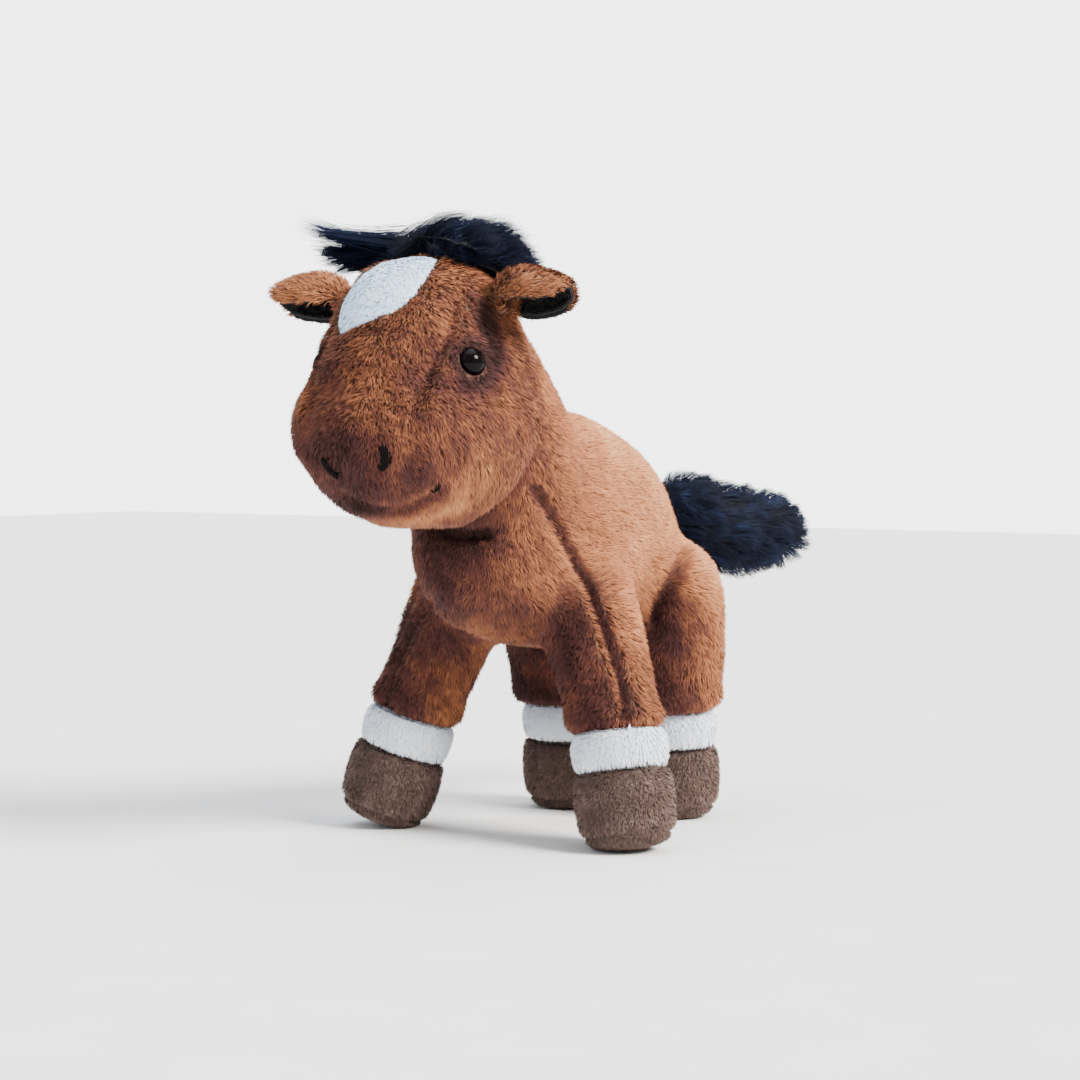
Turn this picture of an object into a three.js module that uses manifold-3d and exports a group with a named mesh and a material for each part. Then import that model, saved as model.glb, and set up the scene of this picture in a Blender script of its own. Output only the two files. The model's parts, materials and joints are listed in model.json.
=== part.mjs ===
// A stuffed plush horse standing on four legs. Millimetres, +Z up, the horse faces -Y and its
// left side is +X. Every limb is a stuffed form with a ball-shaped root that sits in a hollow of
// the form that carries it, so that it can flex there as sewn and stuffed limbs do.

import * as THREE from 'three';
import { mergeVertices } from 'three/addons/utils/BufferGeometryUtils.js';
import Module from 'manifold-3d';

const wasm = await Module();
wasm.setup();

// Cloth, seams and clearances
const coverThickness = 4;
const fillGap = 0.3;
const seamGap = 0.3;
const swingGap = 0.25;
const passageRadius = 8;
const overrun = 12;
const flatDepth = 0.5;

// Torso, from the chest to the rump. A row of shares is width, top and bottom.
const torsoLength = 152;
const torsoHalfWidth = 44;
const torsoHalfHeight = 46;
const torsoMiddleHeight = 122;
const torsoDomeShare = 0.72;
const torsoShares = [
    [0.88, 0.98, 0.84],
    [1.00, 1.36, 0.96],
    [0.97, 1.32, 0.97],
    [1.00, 1.25, 0.95],
    [0.98, 1.14, 0.90],
];

// Neck, a tapered stump between two balls. Its place is a share of the torso's length.
const neckBallRadius = 41;
const pollBallRadius = 37;
const neckPlaceShare = 0.21;
const neckRootRise = 34;
const neckRise = 34;
const neckReach = 22;
const neckBend = 10;

// Head, from the chin to the poll. A row of shares is width, front and back.
const headHeight = 112;
const headHalfWidth = 49;
const headHalfDepth = 51;
const headBelowPoll = 2;
const headBeforePoll = 28;
const headRestTurn = 8;
const headDomeShare = 0.76;
const headShares = [
    [0.91, 1.34, 0.58],
    [1.00, 1.27, 0.80],
    [1.02, 1.16, 0.95],
    [0.92, 0.95, 0.97],
    [0.87, 0.87, 0.93],
    [0.86, 0.88, 0.88],
];

// White forehead patch, drawn on a plane that leans back with the forehead.
// Its outline is in shares of the half width and the half length.
const patchHalfWidth = 20.5;
const patchHalfLength = 22;
const patchPlaceShare = 0.88;
const patchDepth = 14;
const patchLean = 42;
const patchShares = [
    [-0.72, -0.78],
    [-1.00, -0.40],
    [-1.00, 0.20],
    [-0.60, 0.78],
    [0.00, 1.00],
    [0.62, 0.92],
    [0.88, 0.60],
    [0.84, 0.05],
    [0.66, -0.42],
    [0.20, -0.66],
    [-0.30, -0.80],
];

// Ears, rolled leaves with a lining. The radius shares run from the root to the tip.
const earLength = 31;
const earRadius = 12.5;
const earRoll = 115;
const earClothThickness = 2.4;
const earLiningThickness = 1.8;
const earRootRadius = 6.5;
const earRootDepth = 4.5;
const earStandOff = 6;
const earPlugDepth = 2;
const earForwardSweep = 3;
const earPlaceShare = 0.85;
const earTurn = 88;
const earOpeningTurn = 22;
const earSwing = 18;
const earFlare = 24;
const earWellShare = 1.3;
const earPlugAngle = 35;
const earTipShare = 0.2;
const earTipRoundShare = 0.35;
const earShares = [0.66, 0.96, 1.00, 0.93, 0.80, 0.60];

// Eyes with their shanks and lock washers
const eyeDiameter = 12;
const eyeDome = 4.6;
const eyeShankDiameter = 4;
const eyeShankLength = 13;
const eyeTurn = 57;
const eyeAboveMiddle = 12;
const eyeSink = 3.2;
const eyeClearance = 0.25;
const washerDiameter = 16;
const washerThickness = 1.6;
const washerDepth = 5.4;

// Legs, from the ball in the torso to the sole. The ball's place is a share of the torso's length
// and of its half width. The splay and the lag are how far outwards and backwards the leg points
// on its way to the ground. The foot, from the sock down, stands more upright by a share of that.
const front = {
    name: 'front',
    placeShare: 0.38,
    outShare: 0.73,
    ballBelow: 24,
    splay: { left: 48, right: 36 },
    lag: { left: -25, right: -19 },
    uprightShare: { left: 0.6, right: 0.2 },
    ballRadius: 22,
    thighRadius: 20,
    ankleRadius: 18,
    sockRadius: 19.6,
    hoofRadius: 20,
};
const hind = {
    name: 'hind',
    placeShare: 0.835,
    outShare: 0.66,
    ballBelow: 21,
    splay: { left: -1.5, right: -1.5 },
    lag: { left: 14, right: 14 },
    uprightShare: { left: 0.6, right: 0.6 },
    ballRadius: 26,
    thighRadius: 24.5,
    ankleRadius: 19.5,
    sockRadius: 19.6,
    hoofRadius: 19.8,
};
const legFlatShare = 0.93;
const sockHeight = 18.5;
const hoofHeight = 26;
const soleHeight = 6.5;
const soleRimShare = 0.93;
const pinchDepth = 1.2;
const ankleOverlap = 8;
const legSwing = 12;

// Mane on the crown and its forelock. A row of shares is width, above and below.
const maneHalfWidth = 24;
const maneLift = 17;
const maneSeat = 6;
const maneSideways = 9;
const maneDomeShare = 0.7;
const maneShares = [
    [0.75, 0.75, 0.5],
    [1.00, 0.95, 0.5],
    [1.00, 1.18, 0.5],
    [0.85, 1.05, 0.5],
];
const manePlaceShares = [0.985, 0.98, 0.88, 0.72];
const forelockReach = 62;
const forelockRise = 9;
const forelockBackward = 10;
const forelockHalfWidth = 8;
const forelockHalfLift = 10;
const forelockPlaceShare = 0.98;
const forelockDomeShare = 0.5;
const forelockShares = [
    [1.0, 1.0, 0.7],
    [1.0, 1.4, 0.7],
    [0.8, 1.3, 0.65],
    [0.35, 0.8, 0.5],
];

// Tail, a brush of long pile. A row of shares is width, above and below.
const tailLength = 98;
const tailHalfHeight = 23;
const tailHalfWidth = 18;
const tailRootRise = 13;
const tailBallRadius = 13;
const tailRootInset = 6;
const tailFlare = 45;
const tailSideTurn = 22;
const tailDrop = 9;
const tailStartShare = 0.3;
const tailDomeShare = 0.55;
const tailShares = [
    [0.55, 0.84, 0.62],
    [0.95, 1.02, 1.08],
    [1.00, 0.84, 1.10],
    [1.00, 0.78, 1.06],
    [1.00, 0.80, 0.98],
    [1.00, 0.82, 0.90],
];

// Fineness of the forms: facets around, rings along, and steps of a quarter turn
const body = { sides: 20, rings: 11, steps: 4 };
const inner = { sides: 12, rings: 7, steps: 3 };
const limb = { sides: 16, rings: 10, steps: 4, shaft: 4, throat: 2 };
const small = { sides: 12, rings: 8, steps: 4 };
const ball = { sides: 24, steps: 6 };
const leaf = { rows: 6, columns: 9 };
const lock = { sides: 10, rings: 8 };
const patchPoints = 20;
const mergeShare = 1e-5;
const probeTurn = 0.02;

const left = new THREE.Vector3(1, 0, 0);
const forward = new THREE.Vector3(0, -1, 0);
const up = new THREE.Vector3(0, 0, 1);
const sides = [['left', 1], ['right', -1]];
const radians = THREE.MathUtils.degToRad;

function at(x, y, z) {
    return new THREE.Vector3(x, y, z);
}

// A closed geometry as a solid that can be cut and joined
function solid(geometry) {
    const bare = geometry.clone();
    bare.deleteAttribute('normal');
    bare.deleteAttribute('uv');
    const merged = mergeVertices(bare, mergeShare * torsoLength);
    const mesh = new wasm.Mesh({
        numProp: 3,
        vertProperties: new Float32Array(merged.attributes.position.array),
        triVerts: new Uint32Array(merged.index.array),
    });
    return new wasm.Manifold(mesh);
}

// The geometry of a cut or joined solid
function shape(whole) {
    const mesh = whole.getMesh();
    const geometry = new THREE.BufferGeometry();
    geometry.setAttribute('position', new THREE.BufferAttribute(mesh.vertProperties, 3));
    geometry.setIndex(new THREE.BufferAttribute(mesh.triVerts, 1));
    geometry.computeVertexNormals();
    return geometry;
}

function placed(geometry, matrix) {
    return geometry.clone().applyMatrix4(matrix);
}

// One geometry with every cutter of a list taken away, without the offcuts that come loose
function cut(geometry, cutters) {
    let whole = solid(geometry);
    for (const cutter of cutters) {
        whole = whole.subtract(solid(cutter));
    }
    const [largest] = whole.decompose().sort((first, second) => second.volume() - first.volume());
    return shape(largest);
}

function joined(first, second) {
    return shape(solid(first).add(solid(second)));
}

// A closed geometry from points and the triples of their numbers
function faceted(points, faces) {
    const geometry = new THREE.BufferGeometry();
    geometry.setFromPoints(points);
    geometry.setIndex(faces);
    return geometry;
}

// A skin over rings of points, closed by a first and a last point
function skin(first, rings, last) {
    const points = [first, ...rings.flat(), last];
    const around = rings[0].length;
    const faces = [];
    for (let side = 0; side < around; side += 1) {
        const next = (side + 1) % around;
        faces.push(0, 1 + next, 1 + side);
        for (let ring = 0; ring < rings.length - 1; ring += 1) {
            const near = 1 + ring * around;
            const far = near + around;
            faces.push(near + side, far + next, far + side);
            faces.push(near + side, near + next, far + next);
        }
        const end = 1 + (rings.length - 1) * around;
        faces.push(end + next, points.length - 1, end + side);
    }
    return faceted(points, faces);
}

// The middle, the sizes and the upward direction of a stuffed form at a place from 0 to 1
function section(form, place, inset) {
    const path = new THREE.CatmullRomCurve3(form.path);
    const sizes = new THREE.CatmullRomCurve3(form.shares.map((row) => at(...row)));
    const tangent = path.getTangent(place);
    const size = sizes.getPoint(place);
    const dome = Math.max(1 - (2 * place - 1) ** 2, 0) ** (form.dome / 2);
    const inward = inset * (1 - 2 * place);
    return {
        middle: path.getPoint(place).addScaledVector(tangent, inward),
        lift: form.side.clone().cross(tangent).normalize(),
        width: (form.halfWidth * size.x - inset) * dome,
        above: (form.halfLift * size.y - inset) * dome,
        below: (form.halfLift * size.z - inset) * dome,
    };
}

// A point of a stuffed form, its angle counted from the upper or front side towards form.side
function surfacePoint(form, place, angle, inset = 0) {
    const { middle, lift, width, above, below } = section(form, place, inset);
    const reach = Math.cos(angle) > 0 ? above : below;
    return middle
        .addScaledVector(form.side, width * Math.sin(angle))
        .addScaledVector(lift, reach * Math.cos(angle));
}

// A stuffed form along a path: it swells and tapers between round ends
function stuffed(form, inset = 0) {
    const rings = [];
    for (let ring = 1; ring < form.rings; ring += 1) {
        const place = (1 - Math.cos(Math.PI * ring / form.rings)) / 2;
        const points = [];
        for (let side = 0; side < form.sides; side += 1) {
            points.push(surfacePoint(form, place, 2 * Math.PI * side / form.sides, inset));
        }
        rings.push(points);
    }
    return skin(section(form, 0, inset).middle, rings, section(form, 1, inset).middle);
}

// A turned form about local Z from radius and height pairs, top first, widened across local X
function turned(profile, around, widen = 1) {
    const outline = profile.map(([radius, height]) => new THREE.Vector2(radius, height)).reverse();
    const geometry = new THREE.LatheGeometry(outline, around);
    geometry.rotateX(Math.PI / 2);
    geometry.scale(widen, 1, 1);
    return geometry;
}

// Points of an arc of a ball from one angle above its equator down to another
function arc(radius, from, to, steps) {
    const points = [];
    for (let step = 0; step <= steps; step += 1) {
        const angle = radians(from + (to - from) * step / steps);
        points.push([radius * Math.cos(angle), radius * Math.sin(angle)]);
    }
    return points;
}

// How much larger a faceted hollow is drawn, so that its flats clear what turns about its own axis
function turnShare({ sides: around }) {
    return 1 / Math.cos(Math.PI / around);
}

// The same for a ball that swings in it
function swingShare(fineness) {
    return turnShare(fineness) / Math.cos(Math.PI / (4 * fineness.steps));
}

// Where a ball sits and swings about local X: the ball and a bell that opens downwards
function socket(ballRadius, widen, reach, swing, fineness) {
    const radius = ballRadius * swingShare(fineness);
    const bulb = turned(arc(radius, 90, -90, 2 * fineness.steps), fineness.sides, widen);
    const rings = [[0, radius], [reach, radius + reach * Math.tan(radians(swing))]].map(([depth, half]) => {
        const ring = [];
        for (let side = 0; side < fineness.sides; side += 1) {
            const angle = 2 * Math.PI * side / fineness.sides;
            ring.push(at(radius * widen * Math.sin(angle), half * Math.cos(angle), -depth));
        }
        return ring;
    });
    return joined(bulb, skin(at(0, 0, 0), rings, at(0, 0, -reach)));
}

function rod(radius, from, to, around) {
    return turned([[0, to], [radius, to], [radius, from], [0, from]], around);
}

function colour(hex, roughness) {
    return new THREE.MeshStandardMaterial({ color: hex, roughness, metalness: 0 });
}

const plushBrown = colour(0xa9744a, 0.95);
const plushWhite = colour(0xe6ebf0, 0.95);
const plushHoof = colour(0x6b5446, 0.95);
const plushBlack = colour(0x171a28, 0.9);
const liningBlack = colour(0x1b181c, 0.95);
const fibreWhite = colour(0xf2efe9, 1);
const eyeBlack = colour(0x140d10, 0.12);
const washerWhite = colour(0xd9d6cf, 0.5);

const horse = new THREE.Group();

function piece(name, geometry, material, parent) {
    const mesh = new THREE.Mesh(geometry, material);
    mesh.name = name;
    parent.add(mesh);
}

// A group whose origin is a ball's middle: its Z axis points the way given and its X axis, about
// which the ball swings, lies as near to the hinge direction as that allows
function ballGroup(name, middle, direction, hinge, parent) {
    const z = direction.clone().normalize();
    const x = hinge.clone().addScaledVector(z, -hinge.dot(z)).normalize();
    const group = new THREE.Group();
    group.name = name;
    group.applyMatrix4(new THREE.Matrix4().makeBasis(x, z.clone().cross(x), z).setPosition(middle));
    group.updateMatrix();
    parent.add(group);
    return group;
}

// Torso form, and the depth of a place along it
const torsoForm = {
    path: [-1 / 2, 0, 1 / 2].map((share) => at(0, share * torsoLength, torsoMiddleHeight)),
    side: left,
    halfWidth: torsoHalfWidth,
    halfLift: torsoHalfHeight,
    shares: torsoShares,
    dome: torsoDomeShare,
    ...body,
};

function torsoPlace(share) {
    return (share - 1 / 2) * torsoLength;
}

// Neck, in its own frame: a ball at each end and a straight taper between them
const neckRoot = at(0, torsoPlace(neckPlaceShare), torsoMiddleHeight + neckRootRise);
const poll = neckRoot.clone().add(at(0, -neckReach, neckRise));
const neckAxis = poll.clone().sub(neckRoot).normalize();
const neckLength = poll.distanceTo(neckRoot);
const neckGroup = ballGroup('neck_frame', neckRoot, neckAxis, left, horse);

function neckShape(grow, fineness, share = 1) {
    const upper = arc((pollBallRadius + grow) * share, 90, 0, fineness.steps)
        .map(([radius, height]) => [radius, height + neckLength]);
    const lower = arc((neckBallRadius + grow) * share, 0, -90, fineness.steps);
    return turned([...upper, ...lower], fineness.sides);
}

function makeNeck() {
    const way = rod(passageRadius, -neckBallRadius - overrun, neckLength + pollBallRadius + overrun, small.sides);
    const cover = cut(neckShape(0, ball), [neckShape(-coverThickness, inner), way]);
    piece('neck', cover, plushBrown, neckGroup);
    piece('neck_filling', neckShape(-coverThickness - fillGap, inner), fibreWhite, neckGroup);
}

makeNeck();

// Places down one leg below the ball's middle
function legPlaces(leg) {
    const total = leg.length;
    const soleTop = total - soleHeight;
    const hoofTop = soleTop - hoofHeight;
    const sockTop = hoofTop - sockHeight;
    return { total, soleTop, hoofTop, sockTop };
}

// A swelling side between two places, from the top down
function barrel(top, bottom, topRadius, middleRadius, bottomRadius, steps) {
    const curve = new THREE.SplineCurve([
        new THREE.Vector2(topRadius, -top),
        new THREE.Vector2(middleRadius, -(top + bottom) / 2),
        new THREE.Vector2(bottomRadius, -bottom),
    ]);
    return curve.getPoints(steps).map((point) => [point.x, point.y]);
}

// The inner radius of the sock and the hoof, and of the cover's lower end
function throatRadius(leg) {
    return leg.ankleRadius - coverThickness;
}

function ringOf(outer, inside) {
    return [...outer, ...inside.reverse(), outer[0]];
}

function openingAngle(radius) {
    return THREE.MathUtils.radToDeg(Math.acos(passageRadius / radius));
}

// Everything below the plane of the sock's top, in a leg's own frame
function belowAnkle(leg, rise) {
    const box = new THREE.BoxGeometry(leg.length, leg.length, leg.length);
    box.translate(0, 0, rise - legPlaces(leg).sockTop - leg.length / 2);
    return placed(box, leg.footTurn);
}

// The cover runs on past the ankle, where the plane of the sock's top cuts it
function legCover(leg) {
    const bottom = legPlaces(leg).sockTop + ankleOverlap;
    const innerBall = leg.ballRadius - coverThickness;
    const innerThigh = leg.thighRadius - coverThickness;
    const crown = arc(leg.ballRadius, openingAngle(leg.ballRadius), 0, limb.steps);
    const shaft = barrel(0, bottom, leg.ballRadius, leg.thighRadius, leg.ankleRadius, limb.shaft);
    const hollow = arc(innerBall, openingAngle(innerBall), 0, limb.throat);
    const throat = barrel(0, bottom, innerBall, innerThigh, throatRadius(leg), limb.throat);
    const profile = ringOf([...crown, ...shaft.slice(1)], [...hollow, ...throat.slice(1)]);
    return cut(turned(profile, limb.sides, 1 / legFlatShare), [belowAnkle(leg, seamGap)]);
}

function legFilling(leg) {
    const { sockTop, soleTop } = legPlaces(leg);
    const radius = leg.ballRadius - coverThickness - fillGap;
    const thigh = leg.thighRadius - coverThickness - fillGap;
    const foot = throatRadius(leg) - fillGap;
    const crown = arc(radius, openingAngle(radius), 0, limb.throat);
    const bottom = sockTop + ankleOverlap;
    const throat = barrel(0, bottom, radius, thigh, foot, limb.throat);
    const profile = [[0, crown[0][1]], ...crown, ...throat.slice(1), [0, -bottom]];
    const inLeg = cut(turned(profile, limb.sides, 1 / legFlatShare), [belowAnkle(leg, 0)]);
    const top = seamGap - sockTop;
    const end = seamGap - soleTop;
    const inFoot = turned([[0, top], [foot, top], [foot, end], [0, end]], limb.sides, 1 / legFlatShare);
    return joined(inLeg, placed(inFoot, leg.footTurn));
}

// A padded band round the leg, such as the sock or the hoof's wall
function band(leg, top, bottom, middleRadius, bottomRadius) {
    const outer = barrel(top, bottom, middleRadius - pinchDepth, middleRadius, bottomRadius, limb.shaft);
    const bore = [[throatRadius(leg), -top], [throatRadius(leg), -bottom]];
    return turned(ringOf(outer, bore), limb.sides, 1 / legFlatShare);
}

function sole(leg) {
    const { soleTop, total } = legPlaces(leg);
    const rim = leg.hoofRadius * soleRimShare;
    const outer = arc(1, 0, -90, limb.steps).map(([across, down]) => [
        rim * across,
        -soleTop + (total - soleTop) * down,
    ]);
    return turned([[0, -soleTop], ...outer], limb.sides, 1 / legFlatShare);
}

// Everything below the ground, in a leg's own frame
function underground(group) {
    const box = new THREE.BoxGeometry(torsoLength, torsoLength, overrun);
    box.translate(group.position.x, group.position.y, -overrun / 2);
    return placed(box, group.matrix.clone().invert());
}

// Turns the foot about the ankle, from the leg's direction towards the upright one
function footTurn(leg, share) {
    const upwards = up.clone().transformDirection(leg.group.matrix.clone().invert());
    const whole = new THREE.Quaternion().setFromUnitVectors(up, upwards);
    const turn = new THREE.Quaternion().slerp(whole, share);
    const { sockTop } = legPlaces(leg);
    return new THREE.Matrix4().makeTranslation(0, 0, -sockTop)
        .multiply(new THREE.Matrix4().makeRotationFromQuaternion(turn))
        .multiply(new THREE.Matrix4().makeTranslation(0, 0, sockTop));
}

function makeLeg(measures, sideName, sideSign) {
    const hip = at(
        sideSign * measures.outShare * torsoHalfWidth,
        torsoPlace(measures.placeShare),
        torsoMiddleHeight - measures.ballBelow,
    );
    const way = at(-sideSign * measures.splay[sideName], -measures.lag[sideName], hip.z).normalize();
    const label = `${measures.name}_${sideName}`;
    const group = ballGroup(`leg_frame_${label}`, hip, way, left, horse);
    const upright = measures.uprightShare[sideName];
    const footHeight = sockHeight + hoofHeight + soleHeight;
    const footDrop = footHeight * Math.cos((1 - upright) * way.angleTo(up));
    const leg = { ...measures, group, length: (hip.z - footDrop) / way.z + footHeight };
    leg.footTurn = footTurn(leg, upright);
    const lowest = placed(sole(leg), group.matrix.clone().multiply(leg.footTurn));
    lowest.computeBoundingBox();
    group.position.z -= flatDepth + lowest.boundingBox.min.z;
    group.updateMatrix();
    const { sockTop, hoofTop, soleTop } = legPlaces(leg);
    const sockEdge = leg.sockRadius - pinchDepth;
    const hoofEdge = leg.hoofRadius * soleRimShare;
    piece(`leg_${label}`, legCover(leg), plushBrown, group);
    piece(`leg_filling_${label}`, legFilling(leg), fibreWhite, group);
    const sock = band(leg, sockTop, hoofTop - seamGap, leg.sockRadius, sockEdge);
    const hoof = band(leg, hoofTop, soleTop - seamGap, leg.hoofRadius, hoofEdge);
    piece(`sock_${label}`, placed(sock, leg.footTurn), plushWhite, group);
    piece(`hoof_${label}`, placed(hoof, leg.footTurn), plushHoof, group);
    piece(`hoof_sole_${label}`, cut(placed(sole(leg), leg.footTurn), [underground(group)]), plushHoof, group);
    return leg;
}

const legs = [front, hind].flatMap((measures) => sides.map(([name, sign]) => makeLeg(measures, name, sign)));

// Tail on a ball-shaped root in the rump
const tailWay = at(Math.sin(radians(tailSideTurn)), Math.cos(radians(tailSideTurn)), 0);
const tailSide = up.clone().cross(tailWay);
const tailRoot = at(0, torsoLength / 2 - tailRootInset, torsoMiddleHeight + tailRootRise);
const tailGroup = ballGroup('tail_frame', tailRoot, tailWay.clone().negate(), tailSide, horse);

function tailBrush() {
    const toLocal = tailGroup.matrix.clone().invert();
    const start = tailBallRadius * tailStartShare;
    const path = [0, 1 / 3, 2 / 3, 1].map((share) => tailRoot.clone()
        .addScaledVector(tailWay, start + share * (tailLength - start))
        .addScaledVector(up, -tailDrop * Math.sin(Math.PI * share / 2)));
    const brush = stuffed({
        path,
        side: tailSide.clone().negate(),
        halfWidth: tailHalfWidth,
        halfLift: tailHalfHeight,
        shares: tailShares,
        dome: tailDomeShare,
        ...limb,
    });
    return joined(placed(brush, toLocal), turned(arc(tailBallRadius, 90, -90, 2 * limb.steps), limb.sides));
}

piece('tail', tailBrush(), plushBlack, tailGroup);

// Torso: the cover is open where each ball enters, and the balls press into the filling
const torsoSockets = [
    ...legs.map(({ group, ballRadius }) => placed(
        socket(ballRadius + swingGap, 1 / legFlatShare, torsoHalfHeight, legSwing, limb),
        group.matrix,
    )),
    placed(
        socket(neckBallRadius + swingGap, 1, torsoHalfHeight, neckBend, ball).rotateX(Math.PI),
        neckGroup.matrix,
    ),
    placed(socket(tailBallRadius + swingGap, 1, overrun, tailFlare, small), tailGroup.matrix),
];

function makeTorso() {
    const insideForm = { ...torsoForm, ...inner };
    const cover = cut(stuffed(torsoForm), [stuffed(insideForm, coverThickness), ...torsoSockets]);
    const filling = cut(stuffed(insideForm, coverThickness + fillGap), torsoSockets);
    piece('torso', cover, plushBrown, horse);
    piece('torso_filling', filling, fibreWhite, horse);
}

makeTorso();

// The head is drawn straight ahead and sits turned a little to the horse's left on the poll
const headGroup = new THREE.Group();
headGroup.name = 'head_frame';
headGroup.applyMatrix4(new THREE.Matrix4().makeTranslation(poll.x, poll.y, poll.z)
    .multiply(new THREE.Matrix4().makeRotationZ(radians(headRestTurn)))
    .multiply(new THREE.Matrix4().makeTranslation(-poll.x, -poll.y, -poll.z)));
headGroup.updateMatrix();
horse.add(headGroup);

const headMiddle = poll.clone().add(at(0, -headBeforePoll, -headBelowPoll));
const headForm = {
    path: [-1 / 2, 0, 1 / 2].map((share) => headMiddle.clone().addScaledVector(up, share * headHeight)),
    side: left,
    halfWidth: headHalfWidth,
    halfLift: headHalfDepth,
    shares: headShares,
    dome: headDomeShare,
    ...body,
};

// Eyes: a dome on a shank that a washer holds behind the cover
function makeEye(sideName, sideSign) {
    const place = eyeAboveMiddle / headHeight + 1 / 2;
    const turn = sideSign * radians(eyeTurn);
    const point = surfacePoint(headForm, place, turn);
    const around = surfacePoint(headForm, place, turn + probeTurn).sub(point);
    const upwards = surfacePoint(headForm, place + probeTurn / Math.PI, turn).sub(point);
    const group = ballGroup(`eye_frame_${sideName}`, point, around.clone().cross(upwards), around, headGroup);
    const base = -eyeSink;
    const capRadius = ((eyeDiameter / 2) ** 2 + eyeDome ** 2) / (2 * eyeDome);
    const capAngle = THREE.MathUtils.radToDeg(Math.asin((capRadius - eyeDome) / capRadius));
    const dome = arc(capRadius, 90, capAngle, small.steps).map(([radius, height]) => [
        radius,
        height - capRadius + eyeDome + base,
    ]);
    const shankRadius = eyeShankDiameter / 2;
    const shank = [[shankRadius, base], [shankRadius, base - eyeShankLength], [0, base - eyeShankLength]];
    piece(`eye_${sideName}`, turned([...dome, ...shank], small.sides), eyeBlack, group);
    const bore = shankRadius + eyeClearance;
    const rim = washerDiameter / 2;
    const top = -washerDepth;
    const bottom = top - washerThickness;
    const washer = [[bore, top], [rim, top], [rim, bottom], [bore, bottom], [bore, top]];
    piece(`eye_washer_${sideName}`, turned(washer, small.sides), washerWhite, group);
    const seat = rod(eyeDiameter / 2 + eyeClearance, base - eyeClearance, overrun, small.sides);
    const hole = rod(bore, -overrun, overrun, small.sides);
    const recess = rod(rim + eyeClearance, bottom - eyeClearance, top + eyeClearance, small.sides);
    const pocket = rod(rim + eyeClearance, bottom - eyeClearance, overrun, small.sides);
    const well = rod(bore, base - eyeShankLength - eyeClearance, overrun, small.sides);
    return {
        coverCuts: [seat, hole, recess].map((cutter) => placed(cutter, group.matrix)),
        fillCuts: [pocket, well].map((cutter) => placed(cutter, group.matrix)),
    };
}

const eyes = sides.map(([name, sign]) => makeEye(name, sign));

// A rolled leaf of cloth, from one of its rows to the tip
function earLeaf(outside, thickness, firstRow, opening) {
    const profile = new THREE.SplineCurve(earShares.map((share, index) => new THREE.Vector2(index, share)));
    const grids = [outside, outside - thickness].map((grow) => {
        const grid = [];
        for (let row = firstRow; row <= leaf.rows; row += 1) {
            const place = row / leaf.rows;
            const radius = earRadius * profile.getPoint(place).y + grow - earClothThickness;
            const towardsTip = Math.max(0, (place - 1 + earTipShare) / earTipShare);
            const roll = earRoll * (1 - earTipRoundShare * towardsTip ** 2);
            const line = [];
            for (let column = 0; column <= leaf.columns; column += 1) {
                const turn = radians(opening + roll * (2 * column / leaf.columns - 1));
                line.push(at(
                    radius * Math.sin(turn),
                    radius * Math.cos(turn),
                    -(earStandOff + earLength * place),
                ));
            }
            grid.push(line);
        }
        return grid;
    });
    return slab(grids[0], grids[1]);
}

// A thin plate between two grids of points that lie side by side
function slab(outer, inside) {
    const rows = outer.length;
    const columns = outer[0].length;
    const shift = rows * columns;
    const faces = [];
    const quad = (a, b, c, d) => faces.push(a, b, c, a, c, d);
    for (let row = 0; row < rows - 1; row += 1) {
        for (let column = 0; column < columns - 1; column += 1) {
            const a = row * columns + column;
            quad(a, a + 1, a + columns + 1, a + columns);
            quad(shift + a, shift + a + columns, shift + a + columns + 1, shift + a + 1);
        }
        const low = row * columns;
        const high = low + columns - 1;
        quad(low, low + columns, shift + low + columns, shift + low);
        quad(high + columns, high, shift + high, shift + high + columns);
    }
    for (let column = 0; column < columns - 1; column += 1) {
        const far = (rows - 1) * columns + column;
        quad(column + 1, column, shift + column, shift + column + 1);
        quad(far, far + 1, shift + far + 1, shift + far);
    }
    return faceted([...outer.flat(), ...inside.flat()], faces);
}

// An ear on its ball-shaped root. What it returns is the hollow that the root sits in.
function makeEar(sideName, sideSign) {
    const root = surfacePoint(headForm, earPlaceShare, sideSign * radians(earTurn), earRootDepth);
    const way = at(-sideSign * earLength, earForwardSweep, 0);
    const hinge = forward.clone().multiplyScalar(sideSign);
    const group = ballGroup(`ear_frame_${sideName}`, root, way, hinge, headGroup);
    const opening = -sideSign * earOpeningTurn;
    const plugEnd = earStandOff + earPlugDepth;
    const plugRadius = earRadius * earShares[0] - earClothThickness / 2;
    const plug = turned([
        ...arc(earRootRadius, 90, -earPlugAngle, small.steps),
        [plugRadius, -earStandOff],
        [plugRadius, -plugEnd],
        [0, -plugEnd],
    ], small.sides);
    const cloth = earLeaf(earClothThickness, earClothThickness, 0, opening);
    const lining = earLeaf(-seamGap, earLiningThickness, 1, opening);
    piece(`ear_${sideName}`, joined(plug, cloth), plushBrown, group);
    piece(`ear_lining_${sideName}`, lining, liningBlack, group);
    const well = socket(earRootRadius + swingGap, earWellShare, overrun, earSwing + earFlare, small);
    return placed(well, group.matrix);
}

const earSockets = sides.map(([name, sign]) => makeEar(name, sign));

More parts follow.
